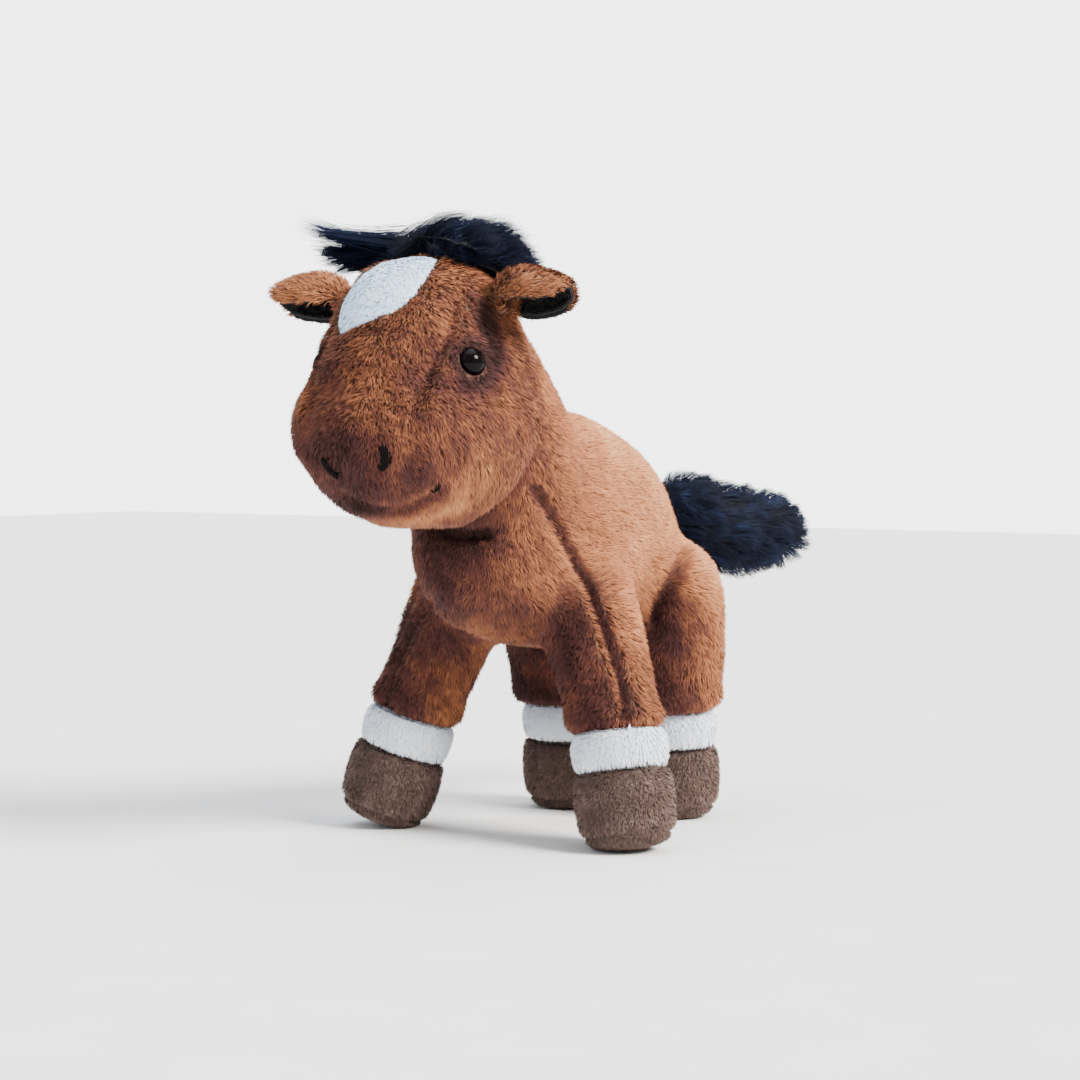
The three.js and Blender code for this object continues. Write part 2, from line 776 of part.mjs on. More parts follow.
// The prism that cuts the white patch out of the head's cover
function patchPrism(grow) {
    const outline = patchShares.map(([across, upwards]) => new THREE.Vector2(
        across * (patchHalfWidth + grow),
        upwards * (patchHalfLength + grow),
    ));
    const edge = new THREE.SplineCurve([...outline, outline[0]]).getPoints(patchPoints).slice(0, -1);
    const prism = new THREE.ExtrudeGeometry(new THREE.Shape(edge), {
        depth: patchDepth + overrun,
        bevelEnabled: false,
    });
    prism.translate(0, 0, -patchDepth);
    const lean = radians(patchLean);
    const outwards = at(0, -Math.cos(lean), Math.sin(lean));
    const frame = new THREE.Matrix4()
        .makeBasis(left, outwards.clone().cross(left), outwards)
        .setPosition(surfacePoint(headForm, patchPlaceShare, 0));
    return placed(prism, frame);
}

// The hollow in the head that the neck's ball sits in
const neckInHead = headGroup.matrix.clone().invert().multiply(neckGroup.matrix);
const neckHollow = placed(neckShape(swingGap, ball, turnShare(ball)), neckInHead);

// Head cover, patch and filling
function makeHead() {
    const insideForm = { ...headForm, ...inner };
    const whole = cut(stuffed(headForm), [
        stuffed(insideForm, coverThickness),
        neckHollow,
        ...earSockets,
        ...eyes.flatMap((eye) => eye.coverCuts),
    ]);
    const filling = cut(stuffed(insideForm, coverThickness + fillGap), [
        neckHollow,
        ...earSockets,
        ...eyes.flatMap((eye) => eye.fillCuts),
    ]);
    piece('head', cut(whole, [patchPrism(seamGap)]), plushBrown, headGroup);
    piece('forehead_patch', shape(solid(whole).intersect(solid(patchPrism(0)))), plushWhite, headGroup);
    piece('head_filling', filling, fibreWhite, headGroup);
}

makeHead();

// Mane over the crown, from the top of the forehead to the back of the head, and its forelock
function makeMane() {
    const grownHead = stuffed(headForm, -seamGap);
    const [front, ...back] = manePlaceShares;
    const form = {
        path: [
            surfacePoint(headForm, front, 0, maneSeat),
            ...back.map((place) => surfacePoint(headForm, place, Math.PI, maneSeat)),
        ].map((point) => point.addScaledVector(left, maneSideways)),
        side: left,
        halfWidth: maneHalfWidth,
        halfLift: maneLift + maneSeat,
        shares: maneShares,
        dome: maneDomeShare,
        ...limb,
    };
    piece('mane', cut(stuffed(form), [grownHead, neckHollow]), plushBlack, headGroup);
    const root = surfacePoint(headForm, forelockPlaceShare, Math.PI, maneSeat);
    const lockForm = {
        path: [0, 1 / 2, 1].map((share) => root.clone().add(at(
            -share * forelockReach,
            share * forelockBackward,
            share * (maneSeat + forelockRise),
        ))),
        side: forward,
        halfWidth: forelockHalfWidth,
        halfLift: forelockHalfLift,
        shares: forelockShares,
        dome: forelockDomeShare,
        ...lock,
    };
    const grownMane = stuffed(form, -seamGap);
    piece('forelock', cut(stuffed(lockForm), [grownHead, grownMane]), plushBlack, headGroup);
}

makeMane();

// The origin lies on the ground below the middle of the horse's outer box
horse.updateMatrixWorld(true);
const outerBox = new THREE.Box3().setFromObject(horse, true);
const middle = outerBox.getCenter(at(0, 0, 0));
horse.position.set(-middle.x, -middle.y, -outerBox.min.z);
horse.updateMatrixWorld(true);

export default horse;
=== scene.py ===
"""A stuffed plush horse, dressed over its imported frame: sewn pile fabric, long black hair and glossy eyes.

Metres, +Z up, the horse faces -Y and its left side is +X. Each form is a closed padded cover that lies
a little inside its CAD solid, and its pile is real: tapered fibres that stand on the cover and end
at the solid's surface. Tones run from 0, the darkest fibre of a cloth, to 1, the lightest.
"""

import json
import math

import bmesh
import bpy
import numpy as np
from mathutils import Matrix, Vector
from mathutils.bvhtree import BVHTree


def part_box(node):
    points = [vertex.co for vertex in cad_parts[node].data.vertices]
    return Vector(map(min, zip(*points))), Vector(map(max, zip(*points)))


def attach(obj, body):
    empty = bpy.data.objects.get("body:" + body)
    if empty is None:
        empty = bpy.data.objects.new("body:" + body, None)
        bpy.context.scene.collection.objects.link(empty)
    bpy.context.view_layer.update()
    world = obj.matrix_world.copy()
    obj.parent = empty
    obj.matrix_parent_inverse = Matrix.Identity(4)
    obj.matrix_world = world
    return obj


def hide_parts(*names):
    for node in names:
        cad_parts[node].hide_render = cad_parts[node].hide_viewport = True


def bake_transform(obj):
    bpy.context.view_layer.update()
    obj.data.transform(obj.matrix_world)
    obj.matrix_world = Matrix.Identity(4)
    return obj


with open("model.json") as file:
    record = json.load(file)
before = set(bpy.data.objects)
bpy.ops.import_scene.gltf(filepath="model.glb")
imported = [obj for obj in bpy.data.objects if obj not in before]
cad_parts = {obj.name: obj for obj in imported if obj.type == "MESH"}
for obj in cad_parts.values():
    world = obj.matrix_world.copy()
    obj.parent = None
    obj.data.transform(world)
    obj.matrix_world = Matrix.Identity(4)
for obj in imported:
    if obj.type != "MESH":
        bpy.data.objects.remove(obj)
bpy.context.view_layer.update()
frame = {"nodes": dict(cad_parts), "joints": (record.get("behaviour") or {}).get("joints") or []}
scene = bpy.context.scene

MM = 0.001
LEGS = ("front_left", "front_right", "hind_left", "hind_right")
SIDES = (("left", 1.0), ("right", -1.0))

# The camera of the photograph, whose frame is 1080 pixels square
PHOTO_PIXELS = 1080
LENS = 90.0
SENSOR = 36.0
AZIMUTH = math.radians(34)
ELEVATION = math.radians(2.5)
DISTANCE = 1160 * MM
AIM = Vector((0.0, -11.4 * MM, 125 * MM))
TRACE_PIXELS = 4

# The padded covers: how fine they are fused, how often softened, and how far below the pile's tips they lie
BODY_VOXEL = 1.8 * MM
BODY_SOFTENING = 34
HEAD_SOFTENING = 10
COVER_INSET = 2.6 * MM
HEAD_REST_TURN = math.radians(8)

# The bend at the root of a limb, from its ball's middle: from the first distance to the second. The cover is
# cut where it starts
LEG_BEND = {"front": (22 * MM, 46 * MM), "hind": (28 * MM, 48 * MM)}
NECK_BEND = (8 * MM, 38 * MM)
# The front legs lie before this place along the body, and every leg lies below this height
LEG_DIVIDE = 10 * MM
LEG_TOP = 100 * MM

# A moulded eye, and how deep the left and the right one sit in the pile
EYE_RADIUS = 6 * MM
EYE_DOME = 4.6 * MM
EYE_RIM = 0.6 * MM
EYE_SHANK = 2 * MM
EYE_RINGS = 14
EYE_SINKS = (0.2 * MM, 2.2 * MM)
EYE_REACH = 20 * MM


def joint_place(name):
    """The middle of the ball at the root of a limb, an ear or the tail."""
    return Vector(next(one for one in frame["joints"] if one["name"] == name)["pos_m"])


def box_middle(name):
    low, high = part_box(name)
    return (Vector(low) + Vector(high)) / 2


# Directions, noise and other sums on whole arrays of points


def unit(vectors):
    """The same directions, each of length 1."""
    return vectors / np.maximum(np.linalg.norm(vectors, axis=1), 1e-12)[:, None]


def bell(distance, width):
    """1 at no distance, falling smoothly to 0 at about twice the width."""
    return np.exp(-((distance / width) ** 2))


def waves(points, size, seed, count=10):
    """Smooth random heights, about -1 to 1, whose hills are about that size."""
    rng = np.random.default_rng(seed)
    ways = unit(rng.normal(size=(count, 3))) * (2 * math.pi / size) * rng.uniform(0.6, 1.3, (count, 1))
    return np.sin(points @ ways.T + rng.uniform(0, 2 * math.pi, count)).sum(1) * math.sqrt(0.5 / count)


def wave_vectors(points, size, seed):
    return np.stack([waves(points, size, seed + axis) for axis in range(3)], 1)


def line_distance(points, line):
    """The distance of each point from a line of short straight pieces."""
    nearest = np.full(len(points), 1e9)
    for start, end in zip(line[:-1], line[1:]):
        way = end - start
        share = np.clip((points - start) @ way / max(way @ way, 1e-12), 0, 1)
        nearest = np.minimum(nearest, np.linalg.norm(points - start - share[:, None] * way, axis=1))
    return nearest


def turned_about(vectors, axes, angle):
    """Each vector turned about its own axis."""
    c, s = np.cos(angle)[:, None], np.sin(angle)[:, None]
    return vectors * c + np.cross(axes, vectors) * s + axes * (vectors * axes).sum(1)[:, None] * (1 - c)


def mesh_points(mesh):
    points = np.empty(len(mesh.vertices) * 3)
    mesh.vertices.foreach_get("co", points)
    return points.reshape(-1, 3)


def node_points(name):
    return mesh_points(frame["nodes"][name].data)


def polygon_values(mesh, kind):
    """The centre or the normal of each polygon."""
    values = np.empty(len(mesh.polygons) * 3)
    mesh.polygons.foreach_get(kind, values)
    return values.reshape(-1, 3)


# The camera, and the place that one of the photograph's pixels shows

back = Vector((
    math.sin(AZIMUTH) * math.cos(ELEVATION),
    -math.cos(AZIMUTH) * math.cos(ELEVATION),
    math.sin(ELEVATION),
))
across = Vector((math.cos(AZIMUTH), math.sin(AZIMUTH), 0.0))
upward = across.cross(-back)
eyepoint = AIM + back * DISTANCE


def pixel_ray(pixel):
    """The direction that a pixel looks in, one metre deep."""
    focal = LENS / SENSOR * PHOTO_PIXELS
    sideways = (pixel[0] - PHOTO_PIXELS / 2) / focal
    rise = (PHOTO_PIXELS / 2 - pixel[1]) / focal
    return -back + across * sideways + upward * rise


def shown_at(surface, pixel):
    """The place on a surface that a pixel shows, or None where it shows none of it."""
    hit = surface.tree.ray_cast(eyepoint, pixel_ray(pixel))
    return np.array(hit[0]) if hit[0] is not None else None


def at_depth(pixel, point):
    """The place that a pixel shows at the depth of a point."""
    return np.array(eyepoint + pixel_ray(pixel) * ((Vector(point) - eyepoint).dot(-back)))


def traced(surface, pixels):
    """A seam's line on a surface, from the pixels that it passes, with a point every few pixels."""
    dense = []
    for start, end in zip(pixels[:-1], pixels[1:]):
        steps = max(1, round(math.dist(start, end) / TRACE_PIXELS))
        dense += [tuple(np.array(start) + (np.array(end) - start) * step / steps) for step in range(steps)]
    places = [shown_at(surface, pixel) for pixel in dense + [pixels[-1]]]
    return np.array([place for place in places if place is not None])


# The head's own frame: it is turned on the poll, and its two sides mirror each other
poll = joint_place("head_turn")
head_turn = Matrix.Rotation(HEAD_REST_TURN, 3, "Z")


def head_local(points):
    """Places from the poll, with the head's turn undone."""
    return (np.asarray(points) - np.array(poll)) @ np.array(head_turn)


def mirrored(points):
    """The same places on the head's other side."""
    return (head_local(points) * np.array([-1.0, 1.0, 1.0])) @ np.array(head_turn).T + np.array(poll)


# Covers: the wraps or the own shapes of CAD nodes, fused by voxels and softened


class Surface:
    """A closed triangle surface as arrays, with a tree for rays."""

    def __init__(self, mesh):
        mesh.calc_loop_triangles()
        self.mesh = mesh
        self.points = mesh_points(mesh)
        self.corners = np.empty(len(mesh.loop_triangles) * 3, np.int32)
        mesh.loop_triangles.foreach_get("vertices", self.corners)
        self.corners = self.corners.reshape(-1, 3)
        self.refresh()

    def crossed(self):
        """The normal of each triangle, as long as twice its area."""
        first, second, third = (self.points[self.corners[:, corner]] for corner in range(3))
        return np.cross(second - first, third - first)

    def refresh(self):
        first, second, third = (self.points[self.corners[:, corner]] for corner in range(3))
        crossed = self.crossed()
        self.area = np.linalg.norm(crossed, axis=1) / 2
        self.centre = (first + second + third) / 3
        normals = np.zeros_like(self.points)
        for corner in range(3):
            np.add.at(normals, self.corners[:, corner], crossed)
        self.normals = unit(normals)
        self.tree = BVHTree.FromPolygons(self.points.tolist(), self.corners.tolist())

    def write(self):
        self.mesh.vertices.foreach_set("co", self.points.astype(np.float32).ravel())
        self.mesh.update()

    def push(self, depth):
        """Moves each point out along its normal, by one depth or by its own."""
        self.points = self.points + self.normals * np.asarray(depth).reshape(-1, 1)
        self.refresh()

    def dab(self, centre, reach, height):
        """Swells the surface round a place, or draws it in where the height is negative."""
        self.push(height * bell(np.linalg.norm(self.points - centre, axis=1), reach))

    def groove(self, lines):
        """Draws each seam in by its depth, and keeps how near each point is to one: the pile parts there."""
        total = np.zeros(len(self.points))
        self.seam_nearness = np.zeros(len(self.points))
        for line, width, depth in lines:
            distance = line_distance(self.points, line)
            total = np.maximum(total, depth * bell(distance, width))
            self.seam_nearness = np.maximum(self.seam_nearness, bell(distance, 0.45 * width))
        self.push(-total)

    def near_seam(self, triangle):
        """1 on a seam, falling to 0 away from it, for each triangle that is numbered."""
        return self.seam_nearness[self.corners[triangle]].mean(1)


def wrap_of(mesh, name):
    """Adds the tight wrap of a CAD node to a mesh."""
    bm = bmesh.new()
    for point in np.unique(node_points(name).round(7), axis=0):
        bm.verts.new(point)
    wrap = bmesh.ops.convex_hull(bm, input=bm.verts)
    inner = wrap["geom_interior"] + wrap["geom_unused"]
    loose = {item for item in inner if isinstance(item, bmesh.types.BMVert)}
    bmesh.ops.delete(bm, geom=list(loose), context="VERTS")
    bmesh.ops.recalc_face_normals(bm, faces=bm.faces)
    bm.from_mesh(mesh)
    bm.to_mesh(mesh)
    bm.free()


def copy_of(mesh, name):
    """Adds a CAD node's own shape to a mesh, with its loose triangles merged."""
    bm = bmesh.new()
    bm.from_mesh(frame["nodes"][name].data)
    bmesh.ops.remove_doubles(bm, verts=bm.verts, dist=MM / 1000)
    bm.from_mesh(mesh)
    bm.to_mesh(mesh)
    bm.free()


def soften(bm, verts, times):
    for _ in range(times):
        bmesh.ops.smooth_vert(bm, verts=verts, factor=0.5, use_axis_x=True, use_axis_y=True, use_axis_z=True)


def placed(name, mesh):
    thing = bpy.data.objects.new(name, mesh)
    scene.collection.objects.link(thing)
    return thing


def piece_from(bm, name):
    """Ends a bmesh as a smooth piece of the scene."""
    mesh = bpy.data.meshes.new(name)
    bm.to_mesh(mesh)
    bm.free()
    mesh.shade_smooth()
    return placed(name, mesh)


def padded_form(name, nodes, voxel, softening, inset=0.0, shape=wrap_of):
    """One closed soft surface round CAD nodes."""
    mesh = bpy.data.meshes.new(name)
    for node_name in nodes:
        shape(mesh, node_name)
    thing = placed(name, mesh)
    remesh = thing.modifiers.new("fuse", "REMESH")
    remesh.mode = "VOXEL"
    remesh.voxel_size = voxel
    fused = bpy.data.meshes.new_from_object(thing.evaluated_get(bpy.context.evaluated_depsgraph_get()))
    thing.modifiers.clear()
    thing.data = fused
    bm = bmesh.new()
    bm.from_mesh(fused)
    soften(bm, bm.verts, softening)
    bm.to_mesh(fused)
    bm.free()
    fused.shade_smooth()
    surface = Surface(fused)
    if inset:
        surface.push(-inset)
        surface.write()
    return thing, surface


def dress(thing, material, slot):
    """Gives a piece its cloth. Its slot, the finish of the record that it stands for, is not used."""
    thing.data.materials.clear()
    thing.data.materials.append(material)
    return thing


def stuff(thing, backing, slot, body_name, nodes):
    """Dresses a padded cover, which rides on its body and stands for its CAD nodes."""
    dress(thing, backing, slot)
    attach(thing, body_name)
    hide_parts(*nodes)
    return thing


# Fibres


def sampled(surface, density, seed, chosen=None):
    """Roots spread evenly over a surface: their places, normals and triangles."""
    rng = np.random.default_rng(seed)
    area = surface.area if chosen is None else np.where(chosen, surface.area, 0.0)
    reach = np.cumsum(area)
    count = int(reach[-1] * density)
    face = np.searchsorted(reach, rng.random(count) * reach[-1])
    first, second = rng.random((2, count))
    folded = first + second > 1
    first[folded], second[folded] = 1 - first[folded], 1 - second[folded]
    weights = np.stack([1 - first - second, first, second], 1)[:, :, None]
    corners = surface.corners[face]
    roots = (surface.points[corners] * weights).sum(1)
    normals = unit((surface.normals[corners] * weights).sum(1))
    return roots, normals, face


def gathered(points, roots, cell, seed):
    """For each root the mean of the points whose roots lie in its tuft, and the tuft's number."""
    warp = wave_vectors(roots, 4 * cell, seed) * 0.6
    key = np.floor(roots / cell + warp).astype(np.int64)
    key -= key.min(0)
    code = (key[:, 0] * (key[:, 1].max() + 1) + key[:, 1]) * (key[:, 2].max() + 1) + key[:, 2]
    _, tuft = np.unique(code, return_inverse=True)
    size = np.bincount(tuft)
    middle = np.stack([np.bincount(tuft, points[:, axis]) / size for axis in range(3)], 1)
    return middle[tuft], tuft


def combed(roots, normals, nap, length, lean, seed, cell=2.2 * MM, pull=0.28, mess=0.3, bends=2):
    """The points of each short fibre from root to tip, with the fibres of a tuft drawn together."""
    rng = np.random.default_rng(seed)
    count = len(roots)
    lying = nap - normals * (nap * normals).sum(1)[:, None]
    stray = np.asarray(mess) * (rng.normal(0, 1, count) + 1.5 * waves(roots, 13 * MM, seed + 7))
    lying = turned_about(unit(lying), normals, stray)
    reach = np.asarray(length) * rng.uniform(0.7, 1.12, count)
    slope = np.asarray(lean) * rng.uniform(0.75, 1.15, count)
    line = [roots]
    for bend in range(1, bends + 1):
        tilt = slope * (0.65 + 0.6 * bend / bends)
        step = normals * np.cos(tilt)[:, None] + lying * np.sin(tilt)[:, None]
        line.append(line[-1] + step * (reach / bends)[:, None])
    middle, tuft = gathered(line[-1], roots, cell, seed)
    shift = (middle - line[-1]) * pull
    for bend in range(1, bends + 1):
        line[bend] = line[bend] + shift * (bend / bends) ** 1.3
    return np.stack(line, 1), tuft


def pile_mesh(name, line, normals, width, tone, seed, softness=0.75):
    """Flat tapered fibres. The UV map holds each fibre's tone and the place along it."""
    rng = np.random.default_rng(seed)
    count, points = line.shape[:2]
    way = unit(line[:, -1] - line[:, 0])
    sideways = unit(np.cross(way, normals))
    sideways = turned_about(sideways, way, rng.normal(0, 0.5, count))
    wide = np.asarray(width) * rng.uniform(0.7, 1.3, count)
    taper = [1.0, 0.95] if points == 3 else list(np.linspace(1.0, 0.55, points - 1))
    rails = []
    for index, share in enumerate(taper):
        offset = sideways * (wide * share / 2)[:, None]
        rails += [line[:, index] - offset, line[:, index] + offset]
    places = np.stack(rails + [line[:, -1]], 1)
    each = places.shape[1]
    quads = points - 2
    loops_each = quads * 4 + 3
    pattern, sizes, along = [], [], []
    for index in range(quads):
        pattern += [2 * index, 2 * index + 1, 2 * index + 3, 2 * index + 2]
        along += [index, index, index + 1, index + 1]
        sizes.append(4)
    pattern += [2 * quads, 2 * quads + 1, each - 1]
    along += [quads, quads, quads + 1]
    sizes.append(3)
    mesh = bpy.data.meshes.new(name)
    mesh.vertices.add(count * each)
    mesh.vertices.foreach_set("co", places.astype(np.float32).ravel())
    mesh.loops.add(count * loops_each)
    fibre = np.arange(count)[:, None]
    loops = np.array(pattern)[None, :] + fibre * each
    mesh.loops.foreach_set("vertex_index", loops.astype(np.int32).ravel())
    starts = np.concatenate([[0], np.cumsum(sizes)[:-1]])[None, :] + fibre * loops_each
    mesh.polygons.add(count * len(sizes))
    mesh.polygons.foreach_set("loop_start", starts.astype(np.int32).ravel())
    uv = np.empty((count, loops_each, 2), np.float32)
    uv[:, :, 0] = np.clip(tone, 0.02, 0.98)[:, None]
    uv[:, :, 1] = np.array(along)[None, :] / (points - 1) * 0.96 + 0.02
    mesh.uv_layers.new(name="OFBake").data.foreach_set("uv", uv.ravel())
    mesh.update(calc_edges=True)
    mesh.shade_smooth()
    flat = unit(np.cross(sideways, way))
    flat *= np.sign((flat * normals).sum(1) + 1e-9)[:, None]
    shading = unit(normals * softness + flat * (1 - softness))
    mesh.normals_split_custom_set_from_vertices(np.repeat(shading, each, axis=0).astype(np.float32))
    return placed(name, mesh)


# Materials


def linear(colour):
    """A linear colour from an sRGB hex value."""
    channels = [int(colour[index:index + 2], 16) / 255 for index in (1, 3, 5)]
    return [c / 12.92 if c <= 0.04045 else ((c + 0.055) / 1.055) ** 2.4 for c in channels] + [1.0]


def add(material, kind, sockets=None, stops=(), **settings):
    """Adds a node with its settings and colour stops. Each socket gets a value, or a link to an output."""
    tree = material.node_tree
    made = tree.nodes.new(kind)
    for name, value in settings.items():
        setattr(made, name, value)
    for name, value in (sockets or {}).items():
        if isinstance(value, bpy.types.NodeSocket):
            tree.links.new(value, made.inputs[name])
        else:
            made.inputs[name].default_value = value
    while stops and len(made.color_ramp.elements) < len(stops):
        made.color_ramp.elements.new(0.5)
    for index, (place, colour) in enumerate(stops):
        made.color_ramp.elements[index].position = place
        made.color_ramp.elements[index].color = linear(colour)
    return made


def new_material(name):
    material = bpy.data.materials.new(name)
    material.use_nodes = True
    material.node_tree.nodes.clear()
    return material


def finish_material(material, sockets):
    """Ends a material with its shader."""
    shader = add(material, "ShaderNodeBsdfPrincipled", sockets)
    add(material, "ShaderNodeOutputMaterial", {"Surface": shader.outputs["BSDF"]})
    return material


def pile_material(name, tones, root_shade, roughness, gloss, sheen, sheen_colour):
    """Pile. Each fibre has its own tone, and its root lies in the shade of its neighbours."""
    material = new_material(name)
    place = add(material, "ShaderNodeUVMap", uv_map="OFBake").outputs["UV"]
    parts = add(material, "ShaderNodeSeparateXYZ", {"Vector": place}).outputs
    fibre = add(material, "ShaderNodeValToRGB", {"Fac": parts["X"]}, tones).outputs["Color"]
    stops = [(0.0, root_shade), (0.6, "#FFFFFF")]
    shade = add(material, "ShaderNodeValToRGB", {"Fac": parts["Y"]}, stops).outputs["Color"]
    colour = add(material, "ShaderNodeMix", {"Factor": 1.0, "A": fibre, "B": shade},
                 data_type="RGBA", blend_type="MULTIPLY")
    return finish_material(material, {
        "Base Color": colour.outputs["Result"],
        "Roughness": roughness,
        "Sheen Weight": sheen,
        "Sheen Roughness": 0.45,
        "Sheen Tint": linear(sheen_colour),
        "Specular IOR Level": gloss,
    })


def backing_material(name, dark, light, loop=1.1 * MM):
    """Knitted polyester backing, seen only between the fibres: small loops in rows."""
    material = new_material(name)
    where = add(material, "ShaderNodeTexCoord").outputs["Object"]
    mottle = add(material, "ShaderNodeTexNoise", {"Scale": 1 / (12 * MM), "Detail": 4.0, "Vector": where})
    knit = add(material, "ShaderNodeTexVoronoi", {"Scale": 1 / loop, "Vector": where})
    colour = add(material, "ShaderNodeValToRGB", {"Fac": mottle.outputs["Fac"]}, [(0.3, dark), (0.7, light)])
    height = add(material, "ShaderNodeBump",
                 {"Strength": 0.6, "Distance": loop / 4, "Height": knit.outputs["Distance"]})
    return finish_material(material, {
        "Base Color": colour.outputs["Color"], "Roughness": 0.9, "Normal": height.outputs["Normal"]})


# Minky plush: short caramel pile, redder and darker where it lies away from the light
BROWN_TONES = [
    (0.0, "#241712"),
    (0.15, "#341F1E"),
    (0.3, "#4B2C2A"),
    (0.42, "#643B30"),
    (0.52, "#825036"),
    (0.62, "#9A6140"),
    (0.8, "#B47952"),
    (1.0, "#CD9C72"),
]
brown_pile = pile_material("minky_plush_caramel", BROWN_TONES, "#C4B4AA", 0.8, 0.12, 0.12, "#E8C4A8")
brown_backing = backing_material("knitted_backing_brown", "#432A1E", "#543526")

# White minky of the socks: undyed pile, painted a little grey at its roots as shade between the fibres
WHITE_TONES = [(0.0, "#D3DFEE"), (0.4, "#E6EFFA"), (0.75, "#F3F8FF"), (1.0, "#FFFFFF")]
white_pile = pile_material("minky_plush_white", WHITE_TONES, "#E4E9F0", 0.85, 0.1, 0.1, "#FFFFFF")
white_backing = backing_material("knitted_backing_white", "#E2E8F0", "#F2F5FA")

# Cool white minky of the forehead: pile that lies almost flat, so that it shows as one smooth bluish sheet
PATCH_TONES = [(0.0, "#A8D0FA"), (0.4, "#C0DFFF"), (0.75, "#D3EAFF"), (1.0, "#E6F5FF")]
patch_white = pile_material("minky_plush_cool_white", PATCH_TONES, "#FFFFFF", 0.85, 0.1, 0.5, "#E4F2FF")
patch_backing = backing_material("knitted_backing_cool_white", "#C6E1FC", "#D4EAFF")

# Sheared plush of the hooves: dense and short, so that it looks dull, with a pale bloom at its edges
HOOF_TONES = [(0.0, "#2C211D"), (0.35, "#4B3A34"), (0.7, "#6E5A53"), (1.0, "#95827A")]
hoof_pile = pile_material("sheared_plush_hoof_brown", HOOF_TONES, "#B0A49C", 0.85, 0.1, 0.3, "#C8B4A8")
hoof_backing = backing_material("knitted_backing_hoof", "#3A2B25", "#4C3C35")

# Acrylic long pile of the mane, the forelock and the tail: straight and silky, blue where it catches the light
BLACK_TONES = [(0.0, "#05070D"), (0.4, "#0C1121"), (0.7, "#172038"), (1.0, "#333F62")]
black_pile = pile_material("acrylic_long_pile_blue_black", BLACK_TONES, "#A0A0A8", 0.6, 0.08, 0.08, "#44507C")
black_backing = backing_material("knitted_backing_black", "#030407", "#06080F")

# Sheared black plush of the ear linings: so short that it looks like velvet
LINING_TONES = [(0.0, "#060506"), (0.6, "#0F0D10"), (1.0, "#1E1B20")]
lining_pile = pile_material("sheared_plush_lining_black", LINING_TONES, "#909090", 0.85, 0.05, 0.05, "#55505C")


def eye_material():
    """Moulded acrylic toy eye: very dark brown and polished, with a faint brown depth near its rim."""
    material = new_material("moulded_acrylic_eye")
    rim = add(material, "ShaderNodeLayerWeight", {"Blend": 0.35})
    stops = [(0.0, "#080405"), (0.7, "#0E0708"), (1.0, "#1C0F10")]
    colour = add(material, "ShaderNodeValToRGB", {"Fac": rim.outputs["Facing"]}, stops)
    return finish_material(material, {
        "Base Color": colour.outputs["Color"], "Roughness": 0.1, "Specular IOR Level": 0.5, "IOR": 1.16})


def thread_material():
    """Rayon embroidery thread: black, with a soft gloss, and faint lighter bands across its twist that are a
    painted highlight.
    """
    material = new_material("embroidery_thread_black")
    where = add(material, "ShaderNodeTexCoord").outputs["Object"]
    twist = add(material, "ShaderNodeTexWave", {"Scale": 1 / (1.2 * MM), "Distortion": 1.5, "Vector": where})
    # The lighter bands are a painted highlight
    stops = [(0.0, "#030202"), (1.0, "#0B0706")]
    colour = add(material, "ShaderNodeValToRGB", {"Fac": twist.outputs["Fac"]}, stops)
    return finish_material(material, {
        "Base Color": colour.outputs["Color"], "Roughness": 0.75, "Specular IOR Level": 0.08})


def mottled_material(name, grain, dark, light, roughness):
    """A plain moulded or painted surface with soft clouds of that grain."""
    material = new_material(name)
    where = add(material, "ShaderNodeTexCoord").outputs["Object"]
    clouds = add(material, "ShaderNodeTexNoise", {"Scale": 1 / grain, "Vector": where})
    colour = add(material, "ShaderNodeValToRGB", {"Fac": clouds.outputs["Fac"]}, [(0.3, dark), (0.7, light)])
    return finish_material(material, {"Base Color": colour.outputs["Color"], "Roughness": roughness})


eye_gloss = eye_material()
thread_black = thread_material()
# Moulded polyethylene lock washer, hidden in the head
washer_white = mottled_material("moulded_polyethylene_washer", 5 * MM, "#CFCBC2", "#DEDBD4", 0.5)


# The body: torso, neck and legs in one sewn cover, as the real one's long side panels are

body_nodes = ["torso", "neck"] + [f"leg_{leg}" for leg in LEGS]
body_whole, body = padded_form("body_whole", body_nodes, BODY_VOXEL, BODY_SOFTENING)
head_whole, head = padded_form("head_cover", ["head", "forehead_patch"], BODY_VOXEL, HEAD_SOFTENING)

# Seams and creases, as the pixels that each one passes
SIDE_SEAM = [
    (534, 487), (548, 508), (559, 530), (571, 555), (582, 577), (594, 606), (606, 639), (616, 662), (622, 690),
    (624, 716),
]
FAR_LEG_SEAM = [(432, 598), (418, 616), (407, 636), (395, 660), (388, 682), (383, 706)]
CHEST_CREASE = [(425, 521), (437, 528), (450, 533), (468, 535), (485, 532)]
HIP_CREASE = [(682, 548), (676, 562), (666, 582), (656, 602), (652, 618)]
FACE_SEAM = [(462, 286), (456, 310), (447, 335), (434, 358), (424, 380), (415, 402), (409, 428), (408, 452)]
MOUTH_SEAM = [(438, 487), (426, 497), (412, 504), (395, 507), (372, 506), (353, 501), (343, 494)]
# Painted light: the chin below the mouth seam, where the pile is made lighter
CHIN_PANEL = [(362, 514), (380, 518), (400, 518), (430, 512), (452, 504)]
# Painted shade: the line behind each eye, along its socket, where the pile is made darker
EYE_STREAK = [(480, 312), (485, 326), (484, 340), (491, 352), (489, 366), (481, 377), (466, 382)]
NOSE_WRINKLES = [
    [(352, 388), (366, 392), (380, 390), (396, 395)],
    [(344, 402), (360, 406), (376, 402), (392, 408)],
    [(356, 418), (372, 415), (390, 420)],
]
CHIN_REST = (452, 512)
RUMP = (690, 541)


